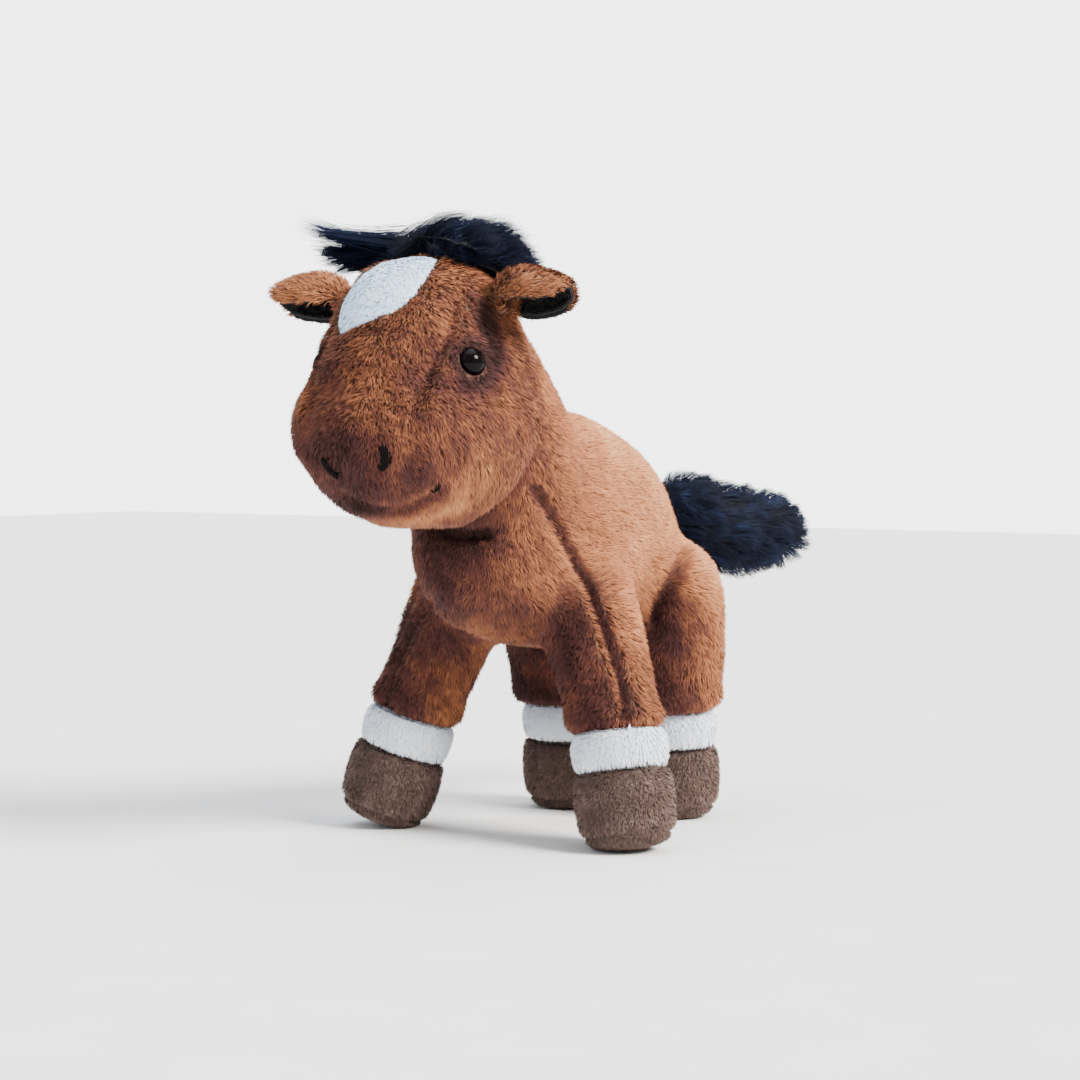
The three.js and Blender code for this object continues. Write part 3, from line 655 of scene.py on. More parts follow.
def foot_of(leg):
    """The middle of a foot, the direction down it, and the places of the sock's top and of the sole's seam."""
    sock = node_points(f"sock_{leg}")
    sole = node_points(f"hoof_sole_{leg}")
    middle = (sock.min(0) + sock.max(0)) / 2
    way = (sole.min(0) + sole.max(0)) / 2 - middle
    way /= np.linalg.norm(way)
    return middle, way, ((sock - middle) @ way).min(), ((sole - middle) @ way).min()


FEET = {leg: foot_of(leg) for leg in LEGS}


def let_out_ankles(height, reach):
    """Lets the body's cloth out above each sock."""
    total = np.zeros(len(body.points))
    for middle, way, top, _ in FEET.values():
        along = (body.points - middle) @ way
        aside = np.linalg.norm(body.points - middle - along[:, None] * way, axis=1)
        total += height * bell(along - top, reach) * (aside < 32 * MM)
    body.push(total)


def shape_body():
    """Uneven filling, loose cloth at the ankles, a hollow for the chin, the rump, and then the seams."""
    body.push(0.5 * MM * waves(body.points, 26 * MM, 3))
    let_out_ankles(3.4 * MM, 8 * MM)
    body.dab(shown_at(body, CHIN_REST), 22 * MM, -4.8 * MM)
    rump = at_depth(RUMP, joint_place("tail_lift"))
    for _, sign in SIDES:
        body.dab(rump * np.array([sign, 1.0, 1.0]), 17 * MM, 3.6 * MM)
    side_seam = traced(body, SIDE_SEAM)
    body.groove([
        (side_seam, 2.0 * MM, 2.4 * MM),
        (side_seam * np.array([-1.0, 1.0, 1.0]), 2.0 * MM, 2.4 * MM),
        (traced(body, FAR_LEG_SEAM), 2.0 * MM, 1.8 * MM),
        (traced(body, CHEST_CREASE), 2.8 * MM, 5.0 * MM),
        (traced(body, HIP_CREASE), 3.4 * MM, 2.2 * MM),
    ])
    body.push(-COVER_INSET)
    body.write()


def eye_of(side_name):
    """The top of an eye's dome, the direction out of the head, and the length of the eye with its shank."""
    points = np.unique(node_points(f"eye_{side_name}").round(6), axis=0)
    middle = Vector(points.mean(0))
    sizes, ways = np.linalg.eigh(np.cov((points - points.mean(0)).T))
    alone = 0 if sizes[1] - sizes[0] > sizes[2] - sizes[1] else 2
    way = Vector(ways[:, alone])
    way = way if way.dot(middle - poll) > 0 else -way
    along = (points - np.array(middle)) @ np.array(way)
    return middle + way * float(along.max()), way, float(along.max() - along.min())


EYES = {side_name: eye_of(side_name) for side_name, _ in SIDES}


def from_eye(points, side_name):
    """How far points lie above an eye's top, along its axis, and their offsets from that axis."""
    apex, way, _ = EYES[side_name]
    offset = points - np.array(apex)
    height = offset @ np.array(way)
    return height, offset - height[:, None] * np.array(way)


# The eye's shank pulls the cloth into a socket that runs up to the ear, and the cheeks and the muzzle are
# puffed: pixel, reach and height, on both sides of the head
HEAD_DABS = [
    ((475, 358), 11 * MM, -1.0 * MM),
    ((452, 352), 8 * MM, 1.2 * MM),
    ((493, 328), 8 * MM, -1.8 * MM),
    ((455, 430), 20 * MM, 2.0 * MM),
    ((302, 442), 20 * MM, 2.4 * MM),
    ((350, 425), 16 * MM, 1.2 * MM),
    ((400, 515), 14 * MM, 1.0 * MM),
    ((370, 345), 16 * MM, 1.0 * MM),
]
FAR_BROW = ((325, 366), 10 * MM, 1.8 * MM)


def shape_head():
    """Cheeks, sockets and muzzle, then the seams and wrinkles, and the cloth that lies on the eyes' rims."""
    face_seam = traced(head, FACE_SEAM)
    mouth_seam = traced(head, MOUTH_SEAM)
    for pixel, reach, height in HEAD_DABS:
        place = shown_at(head, pixel)
        for centre in (place, mirrored(place)):
            head.dab(centre, reach, height)
    pixel, reach, height = FAR_BROW
    head.dab(shown_at(head, pixel), reach, height)
    valley = np.maximum(*(bell(line_distance(head.points, seam), 6 * MM)
                          for seam in (face_seam, mirrored(face_seam))))
    head.push(-0.9 * MM * valley)
    head.groove([
        (face_seam, 1.8 * MM, 2.2 * MM),
        (mirrored(face_seam), 1.8 * MM, 2.2 * MM),
        (mouth_seam, 2.0 * MM, 2.8 * MM),
    ])
    wrinkles = np.zeros(len(head.points))
    for pixels in NOSE_WRINKLES:
        wrinkles += bell(line_distance(head.points, traced(head, pixels)), 2.2 * MM)
    head.push(-1.1 * MM * wrinkles)
    head.push(0.7 * MM * waves(head.points, 22 * MM, 5))
    head.push(-COVER_INSET)
    for side_name, (_, way, _) in EYES.items():
        height, spoke = from_eye(head.points, side_name)
        aside = np.linalg.norm(spoke, axis=1)
        target = -EYE_DOME + 0.3 * MM - aside ** 2 / (260 * MM)
        chosen = (height > -EYE_REACH) * np.clip(1.6 * bell(aside, 9.5 * MM), 0, 1)
        head.points = head.points + ((target - height) * chosen)[:, None] * np.array(way)
    head.refresh()
    head.write()


shape_body()
shape_head()


# The body's cover is cut at each limb, above the place where the limb begins to bend


def limb_line(root, tip, bend):
    """A limb's root, the direction down it, and the start and the end of its bend."""
    return root, (tip - root).normalized(), *bend


LIMBS = {
    f"leg_{leg}": limb_line(joint_place(f"leg_{leg}_swing"), box_middle(f"hoof_sole_{leg}"),
                            LEG_BEND[leg.split("_")[0]])
    for leg in LEGS
}
LIMBS["neck"] = limb_line(joint_place("neck_bend"), poll, NECK_BEND)


def limb_of(points):
    """The number of the limb that each point lies on, or -1 on the torso."""
    number = np.full(len(points), -1)
    for index, (name, (root, way, start, _)) in enumerate(LIMBS.items()):
        beyond = (points - np.array(root)) @ np.array(way) > start - BODY_VOXEL
        if name != "neck":
            side = math.copysign(1.0, root.x)
            fore = points[:, 1] < LEG_DIVIDE if "front" in name else points[:, 1] >= LEG_DIVIDE
            beyond &= (points[:, 0] * side > 0) & fore & (points[:, 2] < LEG_TOP)
        number[beyond] = index
    return number


def split_cover(name, keep):
    """A closed cover from the faces of the body that are kept."""
    bm = bmesh.new()
    bm.from_mesh(body.mesh)
    bm.faces.ensure_lookup_table()
    bmesh.ops.delete(bm, geom=[face for face in bm.faces if not keep[face.index]], context="FACES")
    bmesh.ops.holes_fill(bm, edges=[edge for edge in bm.edges if edge.is_boundary])
    return piece_from(bm, name)


def bend_with(thing, limb):
    """Bakes the transform of a piece of cloth or pile into its mesh. Its limb's bend is looked up but not
    used.
    """
    root, way, start, end = LIMBS[limb]
    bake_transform(thing)


face_limb = limb_of(polygon_values(body.mesh, "center"))
torso_cover = split_cover("torso_cover", face_limb == -1)
stuff(torso_cover, brown_backing, "plush_brown", "torso", ["torso", "torso_filling"])
for index, limb in enumerate(LIMBS):
    cover = dress(split_cover(f"{limb}_cover", face_limb == index), brown_backing, "plush_brown")
    bend_with(cover, limb)
    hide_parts(limb, "neck_filling" if limb == "neck" else limb.replace("leg", "leg_filling", 1))
bpy.data.objects.remove(body_whole)
stuff(head_whole, brown_backing, "plush_brown", "head", ["head", "head_filling"])


# Brown pile. Its nap runs back along the body and down the limbs and the face.

PILE_DENSITY = 3.1 / MM ** 2
PILE_WIDTH = 0.36 * MM
BODY_PILE_LENGTH = 4.6 * MM
HEAD_PILE_LENGTH = 4.4 * MM
NEAT_MESS = 0.16
RUFFLED_MESS = 0.34
# At a seam the pile is shorter by this share
SEAM_PARTING = 0.7

# How much darker the pile is than its middle tone, and where it is lighter: the body and the head a little
# darker all over; painted shade in the seams, on the pile that faces forwards, and round and behind the eyes;
# painted light on the flanks, the back and the chin
BROWN_MIDDLE = 0.6
BODY_SHADE = 0.05
BODY_SEAM_SHADE = 0.2
BODY_FRONT_PAINTED_SHADE = 0.32
FLANK_PAINTED_LIGHT = 0.26
HEAD_SHADE = 0.12
HEAD_SEAM_SHADE = 0.1
BROW_FRONT_PAINTED_SHADE = 0.03
MUZZLE_FRONT_PAINTED_SHADE = 0.48
SOCKET_SHADE = 0.36
CHIN_LIGHT = 0.26


def brown_tone(points, tuft, seed):
    """Broad patches and finer ones, with each tuft and each fibre a little off their tone."""
    rng = np.random.default_rng(seed)
    tufts = rng.normal(0, 0.035, tuft.max() + 1)[tuft]
    return (BROWN_MIDDLE + 0.08 * waves(points, 34 * MM, 11) + 0.045 * waves(points, 9 * MM, 12) + tufts
            + rng.normal(0, 0.035, len(points)))


def on_legs(points):
    """0 on the trunk, rising to 1 down the legs."""
    return np.clip((105 * MM - points[:, 2]) / (30 * MM), 0, 1)


def body_nap(points):
    """The way that the pile lies: back along the trunk, and down the chest and the legs."""
    lower = on_legs(points)
    front = np.clip((-45 * MM - points[:, 1]) / (25 * MM), 0, 1)
    backward = 1 - 0.9 * np.maximum(lower, front)
    return unit(np.stack([np.zeros(len(points)), backward, -0.45 - 0.6 * lower - 0.5 * front], 1))


def ruffle_and_front_shade(normals, points):
    """How much the pile is roughed up and painted darker as shade: most on what faces forwards."""
    facing = np.clip(-0.95 * normals[:, 1] - 0.2 * normals[:, 0], 0, 1)
    return np.clip(facing * (0.85 + 0.35 * waves(points, 30 * MM, 19)), 0, 1)


def painted_flank_light(normals, points):
    """How much light is painted on the pile: most on the flanks and the back, behind the chest, and less down
    the legs.
    """
    sideways = np.clip(0.8 * np.abs(normals[:, 0]) + 0.5 * normals[:, 2], 0, 1) ** 2
    behind = np.clip((points[:, 1] + 42 * MM) / (45 * MM), 0, 1)
    return sideways * behind * (1 - 0.6 * on_legs(points))


def brown_pieces(groups, line, normals, tone, seed):
    """One piece of brown pile for each group of fibres."""
    for name, chosen in groups.items():
        pile = pile_mesh(name, line[chosen], normals[chosen], PILE_WIDTH, tone[chosen], seed)
        yield name, dress(pile, brown_pile, "plush_brown")


def body_pile():
    """The brown pile of the trunk, the neck and the legs, in one piece for each and two for the trunk."""
    roots, normals, face = sampled(body, PILE_DENSITY, 21)
    limb_number = limb_of(roots)
    near = body.near_seam(face)
    ruffle_and_shade = ruffle_and_front_shade(normals, roots)
    line, tuft = combed(roots, normals, body_nap(roots), BODY_PILE_LENGTH * (1 - SEAM_PARTING * near),
                        0.95 - 0.3 * near, 22, mess=NEAT_MESS + RUFFLED_MESS * ruffle_and_shade)
    # Painted shade in the seams and on the pile that faces forwards; painted light on the flanks and the back
    tone = brown_tone(roots, tuft, 23) - BODY_SHADE - BODY_SEAM_SHADE * near
    tone = tone - BODY_FRONT_PAINTED_SHADE * ruffle_and_shade + FLANK_PAINTED_LIGHT * painted_flank_light(normals, roots)
    groups = {"torso_pile_left": (limb_number == -1) & (roots[:, 0] >= 0),
              "torso_pile_right": (limb_number == -1) & (roots[:, 0] < 0)}
    groups.update({f"{limb}_pile": limb_number == index for index, limb in enumerate(LIMBS)})
    for name, pile in brown_pieces(groups, line, normals, tone, 24):
        if name.startswith("torso"):
            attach(pile, "torso")
        else:
            bend_with(pile, name[:-len("_pile")])


# The white panel of the forehead. Its outline in the photograph lies a little to one side of its CAD node's,
# and it reaches over the crown, to the forelock's root.

PATCH_ASIDE = 4.2 * MM
PATCH_DROP = 1.2 * MM
PATCH_GROWTH = 4.5 * MM
PATCH_SLACK = 3 * MM


def node_tree_of(name):
    """A tree of a CAD node's own faces, to measure how near they are."""
    faces = [tuple(polygon.vertices) for polygon in frame["nodes"][name].data.polygons]
    return BVHTree.FromPolygons(node_points(name).tolist(), faces)


patch_tree = node_tree_of("forehead_patch")
cover_tree = node_tree_of("head")
patch_foot, patch_head = (corner[2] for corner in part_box("forehead_patch"))


def on_panel(places, outward):
    """Whether the white panel is the nearest cloth to each place of the head's cover."""
    found = np.zeros(len(places), bool)
    for index in np.nonzero(places[:, 2] > patch_foot - PATCH_SLACK)[0]:
        point = Vector(places[index] + outward[index] * COVER_INSET)
        beside = point + across * PATCH_ASIDE - upward * PATCH_DROP
        grow = PATCH_GROWTH * min(1.0, max(0.0, (beside.z - patch_head + 6 * MM) / (5 * MM)))
        found[index] = patch_tree.find_nearest(beside)[3] < cover_tree.find_nearest(beside)[3] + grow
    return found


def patch_cover():
    """The white panel: the head's own faces there, raised by half a millimetre, with a wall of their own."""
    keep = on_panel(polygon_values(head.mesh, "center"), polygon_values(head.mesh, "normal"))
    bm = bmesh.new()
    bm.from_mesh(head.mesh)
    bm.faces.ensure_lookup_table()
    bmesh.ops.delete(bm, geom=[face for face in bm.faces if not keep[face.index]], context="FACES")
    soften(bm, [vert for vert in bm.verts if vert.is_boundary], 4)
    bm.normal_update()
    for vert in bm.verts:
        vert.co += vert.normal * 0.5 * MM
    bmesh.ops.solidify(bm, geom=bm.faces, thickness=0.8 * MM)
    bmesh.ops.recalc_face_normals(bm, faces=bm.faces)
    return piece_from(bm, "forehead_patch_cover")


def head_pile():
    """The brown pile of the head, which parts round the eyes and at the white panel."""
    roots, normals, face = sampled(head, PILE_DENSITY, 31)
    near = head.near_seam(face)
    local = head_local(roots)
    flow = np.stack([local[:, 0] * 6, np.full(len(roots), 0.25), np.full(len(roots), -1.0)], 1)
    flow = unit(flow) @ np.array(head_turn).T
    ruffle_and_shade = ruffle_and_front_shade(normals, roots)
    length = HEAD_PILE_LENGTH * (1 - SEAM_PARTING * near)
    off_eye = np.ones(len(roots), bool)
    shaded = np.zeros(len(roots))
    for side_name in EYES:
        height, spoke = from_eye(roots, side_name)
        aside = np.linalg.norm(spoke, axis=1) + 100 * MM * (height < -EYE_REACH)
        off_eye &= aside > EYE_RADIUS * 0.97
        length = length * np.clip((aside - 3 * MM) / (6 * MM), 0.45, 1)
        flow = flow + 1.2 * unit(spoke) * bell(aside, 8 * MM)[:, None]
        shaded = np.maximum(shaded, bell(aside - 6.5 * MM, 3.5 * MM))
    line, tuft = combed(roots, normals, flow, length, 0.9 - 0.3 * near, 32,
                        mess=NEAT_MESS + RUFFLED_MESS * ruffle_and_shade)
    streak = traced(head, EYE_STREAK)
    for shade in (streak, mirrored(streak)):
        shaded = np.maximum(shaded, bell(line_distance(roots, shade), 5.5 * MM))
    low_face = np.clip((local[:, 2] + 6 * MM) / (-40 * MM), 0, 1)
    # Painted shade in the seams, on the pile that faces forwards and most on the lower face, round the eyes
    # and along the socket behind each; painted light on the chin
    tone = brown_tone(roots, tuft, 33) - HEAD_SHADE - HEAD_SEAM_SHADE * near
    tone = tone - (BROW_FRONT_PAINTED_SHADE + MUZZLE_FRONT_PAINTED_SHADE * low_face) * ruffle_and_shade - SOCKET_SHADE * shaded
    tone = tone + CHIN_LIGHT * bell(line_distance(roots, traced(head, CHIN_PANEL)), 7 * MM)
    free = off_eye & ~on_panel(roots, normals)
    groups = {"head_pile_left": free & (local[:, 0] >= 0), "head_pile_right": free & (local[:, 0] < 0)}
    for _, pile in brown_pieces(groups, line, normals, tone, 34):
        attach(pile, "head")


body_pile()
patch = stuff(patch_cover(), patch_backing, "plush_white", "head", ["forehead_patch"])
head_pile()


# Short pile. Each kind: fibres to a square millimetre, length and width in millimetres, lean in radians, tone,
# how softly it is shaded, how far its fibres stray, material and slot.

SHORT_PILES = {
    "patch": (6.0, 2.2, 0.48, 1.25, 0.75, 0.95, 0.15, patch_white, "plush_white"),
    "sock": (4.2, 2.7, 0.36, 0.95, 0.7, 0.94, 0.2, white_pile, "plush_white"),
    "hoof": (3.6, 2.2, 0.3, 0.75, 0.6, 0.9, 0.3, hoof_pile, "plush_hoof"),
    "hoof_sole": (3.6, 2.2, 0.3, 0.75, 0.5, 0.9, 0.3, hoof_pile, "plush_hoof"),
    "ear": (3.2, 3.6, 0.33, 0.95, 0.6, 0.75, 0.2, brown_pile, "plush_brown"),
    "ear_edge": (3.2, 1.4, 0.3, 1.1, 0.55, 0.75, 0.3, brown_pile, "plush_brown"),
    "ear_lining": (3.2, 1.3, 0.28, 0.7, 0.4, 0.75, 0.3, lining_pile, "ear_lining"),
}
DOWNWARD = (0.0, 0.0, -1.0)


def short_pile(kind, ending, surface, body_name, seed, flow=DOWNWARD, chosen=None):
    """One piece of short pile on a cover, above the floor."""
    density, length, width, lean, tone, softness, mess, finish, slot = SHORT_PILES[kind]
    roots, normals, _ = sampled(surface, density / MM ** 2, seed, chosen)
    nap = np.tile(np.array(flow, float), (len(roots), 1))
    line, tuft = combed(roots, normals, nap, length * MM, lean, seed + 1, cell=1.6 * MM, pull=0.3, mess=mess)
    rng = np.random.default_rng(seed + 2)
    shade = tone + 0.08 * waves(roots, 12 * MM, seed) + rng.normal(0, 0.06, tuft.max() + 1)[tuft]
    shade = shade + rng.normal(0, 0.05, len(roots))
    line[:, :, 2] = np.maximum(line[:, :, 2], 0.0)
    pile = pile_mesh(f"{kind}_pile{ending}", line, normals, width * MM, shade, seed + 3, softness)
    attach(dress(pile, finish, slot), body_name)


short_pile("patch", "", Surface(patch.data), "head", 90, flow=(-0.5, -0.2, -1))


# Feet: a white sock, and a brown hoof whose padded sole has a seam of its own

FOOT_VOXEL = 1.2 * MM
SEAM_CLEAR = 0.5 * MM
FOOT_TUCK = 1.6 * MM


def foot_cover(kind, leg, nodes, softening, inset, backing, slot):
    """A padded skin of the foot."""
    nodes = [f"{node}_{leg}" for node in nodes]
    thing, surface = padded_form(f"{kind}_cover_{leg}", nodes, FOOT_VOXEL, softening, inset)
    stuff(thing, backing, slot, f"leg_{leg}", nodes)
    return surface


for number, leg in enumerate(LEGS):
    middle, way, sock_top, sole_seam = FEET[leg]
    sock = foot_cover("sock", leg, ["sock"], 14, 1.2 * MM, white_backing, "plush_white")
    sock.push(-FOOT_TUCK * bell((sock.points - middle) @ way - sock_top, 4.5 * MM))
    sock.write()
    short_pile("sock", f"_{leg}", sock, f"leg_{leg}", 100 + 10 * number)
    hoof = foot_cover("hoof", leg, ["hoof", "hoof_sole"], 16, 0.7 * MM, hoof_backing, "plush_hoof")
    hoof.push(-FOOT_TUCK * bell((hoof.points - middle) @ way - sole_seam, 1.5 * MM))
    hoof.points[:, 2] = np.maximum(hoof.points[:, 2], 0.2 * MM)
    hoof.refresh()
    hoof.write()
    along = (hoof.centre - middle) @ way
    off_ground = hoof.centre[:, 2] > 1.0 * MM
    short_pile("hoof", f"_{leg}", hoof, f"leg_{leg}", 103 + 10 * number,
               chosen=along <= sole_seam - SEAM_CLEAR)
    short_pile("hoof_sole", f"_{leg}", hoof, f"leg_{leg}", 106 + 10 * number,
               chosen=(along > sole_seam + SEAM_CLEAR) & off_ground)


# Ears: rolled leaves of plush with a flat black lining

EAR_ROLL = math.radians(22)
EAR_UNDERSIDE = math.radians(92)
EAR_ROOT = 9.5 * MM
EAR_TIP = 4.5 * MM


def ear_facing(surface, root, leaf_way):
    """Each triangle's direction from the ear's axis, its place along it, and how far it faces outwards."""
    offset = surface.centre - np.array(root)
    along = offset @ np.array(leaf_way)
    radial = unit(offset - along[:, None] * np.array(leaf_way))
    return radial, along, (unit(surface.crossed()) * radial).sum(1)


def ear_sides(surface, root, leaf_way):
    """Which triangles carry full brown pile, which a short one, and which lie beside the black lining."""
    radial, along, outwards = ear_facing(surface, root, leaf_way)
    crest = np.array([0.0, math.sin(EAR_ROLL), math.cos(EAR_ROLL)])
    fore = np.array([0.0, -math.cos(EAR_ROLL), math.sin(EAR_ROLL)])
    lower_rear = (radial @ fore < 0) & (radial @ crest < math.cos(EAR_UNDERSIDE))
    leaf = (along > EAR_ROOT) & (along < along.max() - EAR_TIP)
    black = lower_rear & leaf & (outwards < 0.5)
    short = lower_rear & leaf & ~black
    return ~black & ~short & ((outwards > 0.3) | ~leaf), short, black


def polygon_triangle(surface):
    """One triangle of each polygon, by number."""
    owner = np.empty(len(surface.mesh.loop_triangles), np.int32)
    surface.mesh.loop_triangles.foreach_get("polygon_index", owner)
    return np.unique(owner, return_index=True)[1]


for side_name, sign in SIDES:
    ear = f"ear_{side_name}"
    ending = f"_{side_name}"
    root = joint_place(f"{ear}_flop")
    leaf_way = Vector((sign, -0.06, 0.0)).normalized()
    thing, surface = padded_form(f"ear_cover{ending}", [ear], 0.7 * MM, 5, 0.5 * MM, copy_of)
    stuff(thing, brown_backing, "plush_brown", ear, [ear])
    full, short, under_rim = ear_sides(surface, root, leaf_way)
    thing.data.materials.append(black_backing)
    under_polygons = under_rim[polygon_triangle(surface)].astype(np.int32)
    thing.data.polygons.foreach_set("material_index", under_polygons)
    short_pile("ear", ending, surface, ear, 200 + int(sign), tuple(leaf_way), full)
    short_pile("ear_edge", ending, surface, ear, 210 + int(sign), tuple(leaf_way), short)
    lining = f"ear_lining{ending}"
    thing, surface = padded_form(f"ear_lining_cover{ending}", [lining], 0.6 * MM, 3, 0.0, copy_of)
    stuff(thing, black_backing, "ear_lining", ear, [lining])
    inside = ear_facing(surface, root, leaf_way)[2] < -0.3
    short_pile("ear_lining", ending, surface, ear, 220 + int(sign), tuple(leaf_way), inside)


# Eyes: a moulded dome with its shank, turned from its profile


def eye_profile(total):
    """From the top of the dome, round its rim and down the shank: distances from the axis, and heights."""
    ball = (EYE_RADIUS ** 2 + EYE_DOME ** 2) / (2 * EYE_DOME)
    profile = [(0.0, 0.0)]
    for step in range(1, EYE_RINGS + 1):
        angle = math.asin(EYE_RADIUS / ball) * step / EYE_RINGS
        profile.append((ball * math.sin(angle), -ball * (1 - math.cos(angle))))
    back_height = -EYE_DOME - EYE_RIM
    return profile + [(EYE_RADIUS * 0.985, -EYE_DOME - 0.35 * MM), (EYE_RADIUS * 0.9, back_height),
                      (EYE_SHANK, back_height), (EYE_SHANK, -total), (0.0, -total)]


for (side_name, _), sink in zip(SIDES, EYE_SINKS):
    apex, way, total = EYES[side_name]
    bm = bmesh.new()
    ring = [bm.verts.new((outward, 0.0, height)) for outward, height in eye_profile(total)]
    edges = [bm.edges.new(pair) for pair in zip(ring[:-1], ring[1:])]
    bmesh.ops.spin(bm, geom=ring + edges, cent=(0, 0, 0), axis=(0, 0, 1), angle=2 * math.pi, steps=48,
                   use_merge=True)
    bmesh.ops.remove_doubles(bm, verts=bm.verts, dist=MM / 1000)
    bmesh.ops.recalc_face_normals(bm, faces=bm.faces)
    facing = way.to_track_quat("Z", "Y").to_matrix().to_4x4()
    bmesh.ops.transform(bm, matrix=Matrix.Translation(apex - way * sink) @ facing, verts=bm.verts)
    eye = dress(piece_from(bm, f"eye_dome_{side_name}"), eye_gloss, "eye_black")
    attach(eye, "head")
    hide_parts(f"eye_{side_name}")
    for place in frame["nodes"][f"eye_washer_{side_name}"].material_slots:
        place.material = washer_white


# Nostrils and mouth corners: satin stitches of black thread across a short curve

THREAD_RADIUS = 0.26 * MM
THREAD_SPACING = 0.42 * MM
THREAD_SIDES = 6
ARCH_STEPS = 6
ARCH_HEIGHT = 1.5 * MM
ARCH_SINK = 0.6 * MM
STITCHES = [
    ("nostril_stitch_left", [(381, 445), (385, 448), (387, 455), (386, 462), (381, 467)], 4.0 * MM, 41),
    ("nostril_stitch_right", [(327, 456), (329, 463), (334, 469), (341, 474)], 3.8 * MM, 42),
    ("mouth_stitch_left", [(430, 488), (434, 485), (437, 481)], 2.6 * MM, 43),
]


def ring_edges(bm, ring):
    """The edges round a ring of points, made where they aren't there yet."""
    edges = []
    for first, second in zip(ring, ring[1:] + ring[:1]):
        edges.append(bm.edges.get((first, second)) or bm.edges.new((first, second)))
    return edges


def thread(bm, middle, normal, way, half):
    """One stitch: a round thread in an arch across the curve, which dips into the pile at both ends."""
    sideways = way.cross(normal).normalized()
    rings = []
    for turn in range(ARCH_STEPS + 1):
        angle = math.pi * turn / ARCH_STEPS
        rise = COVER_INSET * 0.75 + ARCH_HEIGHT * math.sin(angle) - ARCH_SINK
        centre = middle + normal * rise - sideways * half * math.cos(angle)
        outwards = (normal * math.sin(angle) - sideways * math.cos(angle)).normalized()
        spins = [2 * math.pi * corner / THREAD_SIDES for corner in range(THREAD_SIDES)]
        rings.append([bm.verts.new(centre + outwards * THREAD_RADIUS * math.cos(spin)
                                   + way * THREAD_RADIUS * math.sin(spin)) for spin in spins])
    for near_ring, far_ring in zip(rings[:-1], rings[1:]):
        bmesh.ops.bridge_loops(bm, edges=ring_edges(bm, near_ring) + ring_edges(bm, far_ring))
    bm.faces.new(rings[0])
    bm.faces.new(rings[-1])


def satin(name, pixels, width, seed):
    """Threads side by side across a smooth curve on the head."""
    line = traced(head, pixels)
    places = np.linspace(0, 1, len(line))
    bow = min(3, len(line) - 1)
    line = np.stack([np.polyval(np.polyfit(places, line[:, axis], bow), places) for axis in range(3)], 1)
    normal = np.mean([head.tree.find_nearest(Vector(place))[1] for place in line], axis=0)
    normal = Vector(normal).normalized()
    steps = np.concatenate([[0], np.cumsum(np.linalg.norm(np.diff(line, axis=0), axis=1))])

    def at(share):
        return np.array([np.interp(share * steps[-1], steps, line[:, axis]) for axis in range(3)])

    rng = np.random.default_rng(seed)
    bm = bmesh.new()
    count = max(3, int(steps[-1] / THREAD_SPACING))
    for index in range(count):
        share = (index + 0.5) / count
        way = Vector(at(min(share + 0.16, 1)) - at(max(share - 0.16, 0))).normalized()
        half = width / 2 * (1 - 0.35 * abs(2 * share - 1) ** 2) * rng.uniform(0.9, 1.1)
        thread(bm, Vector(at(share)), normal, way, half)
    bmesh.ops.recalc_face_normals(bm, faces=bm.faces)
    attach(dress(piece_from(bm, name), thread_black, "ear_lining"), "head")


for stitch in STITCHES:
    satin(*stitch)


# Mane, forelock and tail: long blue-black pile on a dark base that lies deep inside the CAD form


def hair_base(name, body_name, voxel, inset, shape_more=None):
    """The dark padded base of a tuft."""
    thing, surface = padded_form(f"{name}_base", [name], voxel, 5, inset, copy_of)
    if shape_more:
        shape_more(surface)
    stuff(thing, black_backing, "pile_black", body_name, [name])
    return surface


# Long pile. Each kind: the width of a fibre in millimetres, how far the fibres stray, how strongly a tuft is
# drawn together, the width of a tuft in millimetres, and how upright the fibres leave the cloth.
LONG_PILES = {
    "mane": (0.28, 0.42, 0.4, 6.0, 0.8),
    "forelock": (0.26, 0.2, 0.75, 6.0, 0.35),
    "tail": (0.26, 0.25, 0.5, 5.0, 0.9),
}


def long_pile(kind, body_name, roots, normals, flow, length, seed, bends=5):
    """Long fibres that leave the cloth upright and then follow the flow."""
    width, spread, pull, cell, upright = LONG_PILES[kind]
    rng = np.random.default_rng(seed)
    count = len(roots)
    wander = rng.normal(0, spread, (count, 3)) + 0.5 * wave_vectors(roots, 14 * MM, seed)
    target = unit(flow + wander)
    reach = np.asarray(length) * rng.uniform(0.65, 1.1, count)
    line = [roots]
    for bend in range(bends):
        share = (bend + 1) / bends
        way = unit(normals * upright * (1 - share) + target * (0.25 + share))
        line.append(line[-1] + way * (reach / bends)[:, None])
    middle, tuft = gathered(line[-1], roots, cell * MM, seed)
    shift = (middle - line[-1]) * pull
    for bend in range(1, bends + 1):
        line[bend] = line[bend] + shift * (bend / bends) ** 1.4
    tone = 0.4 + 0.12 * waves(roots, 12 * MM, seed + 5) + rng.normal(0, 0.12, tuft.max() + 1)[tuft]
    tone = tone + rng.normal(0, 0.08, count)
    pile = pile_mesh(f"{kind}_pile", np.stack(line, 1), normals, width * MM, tone, seed + 6, 0.45)
    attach(dress(pile, black_pile, "pile_black"), body_name)


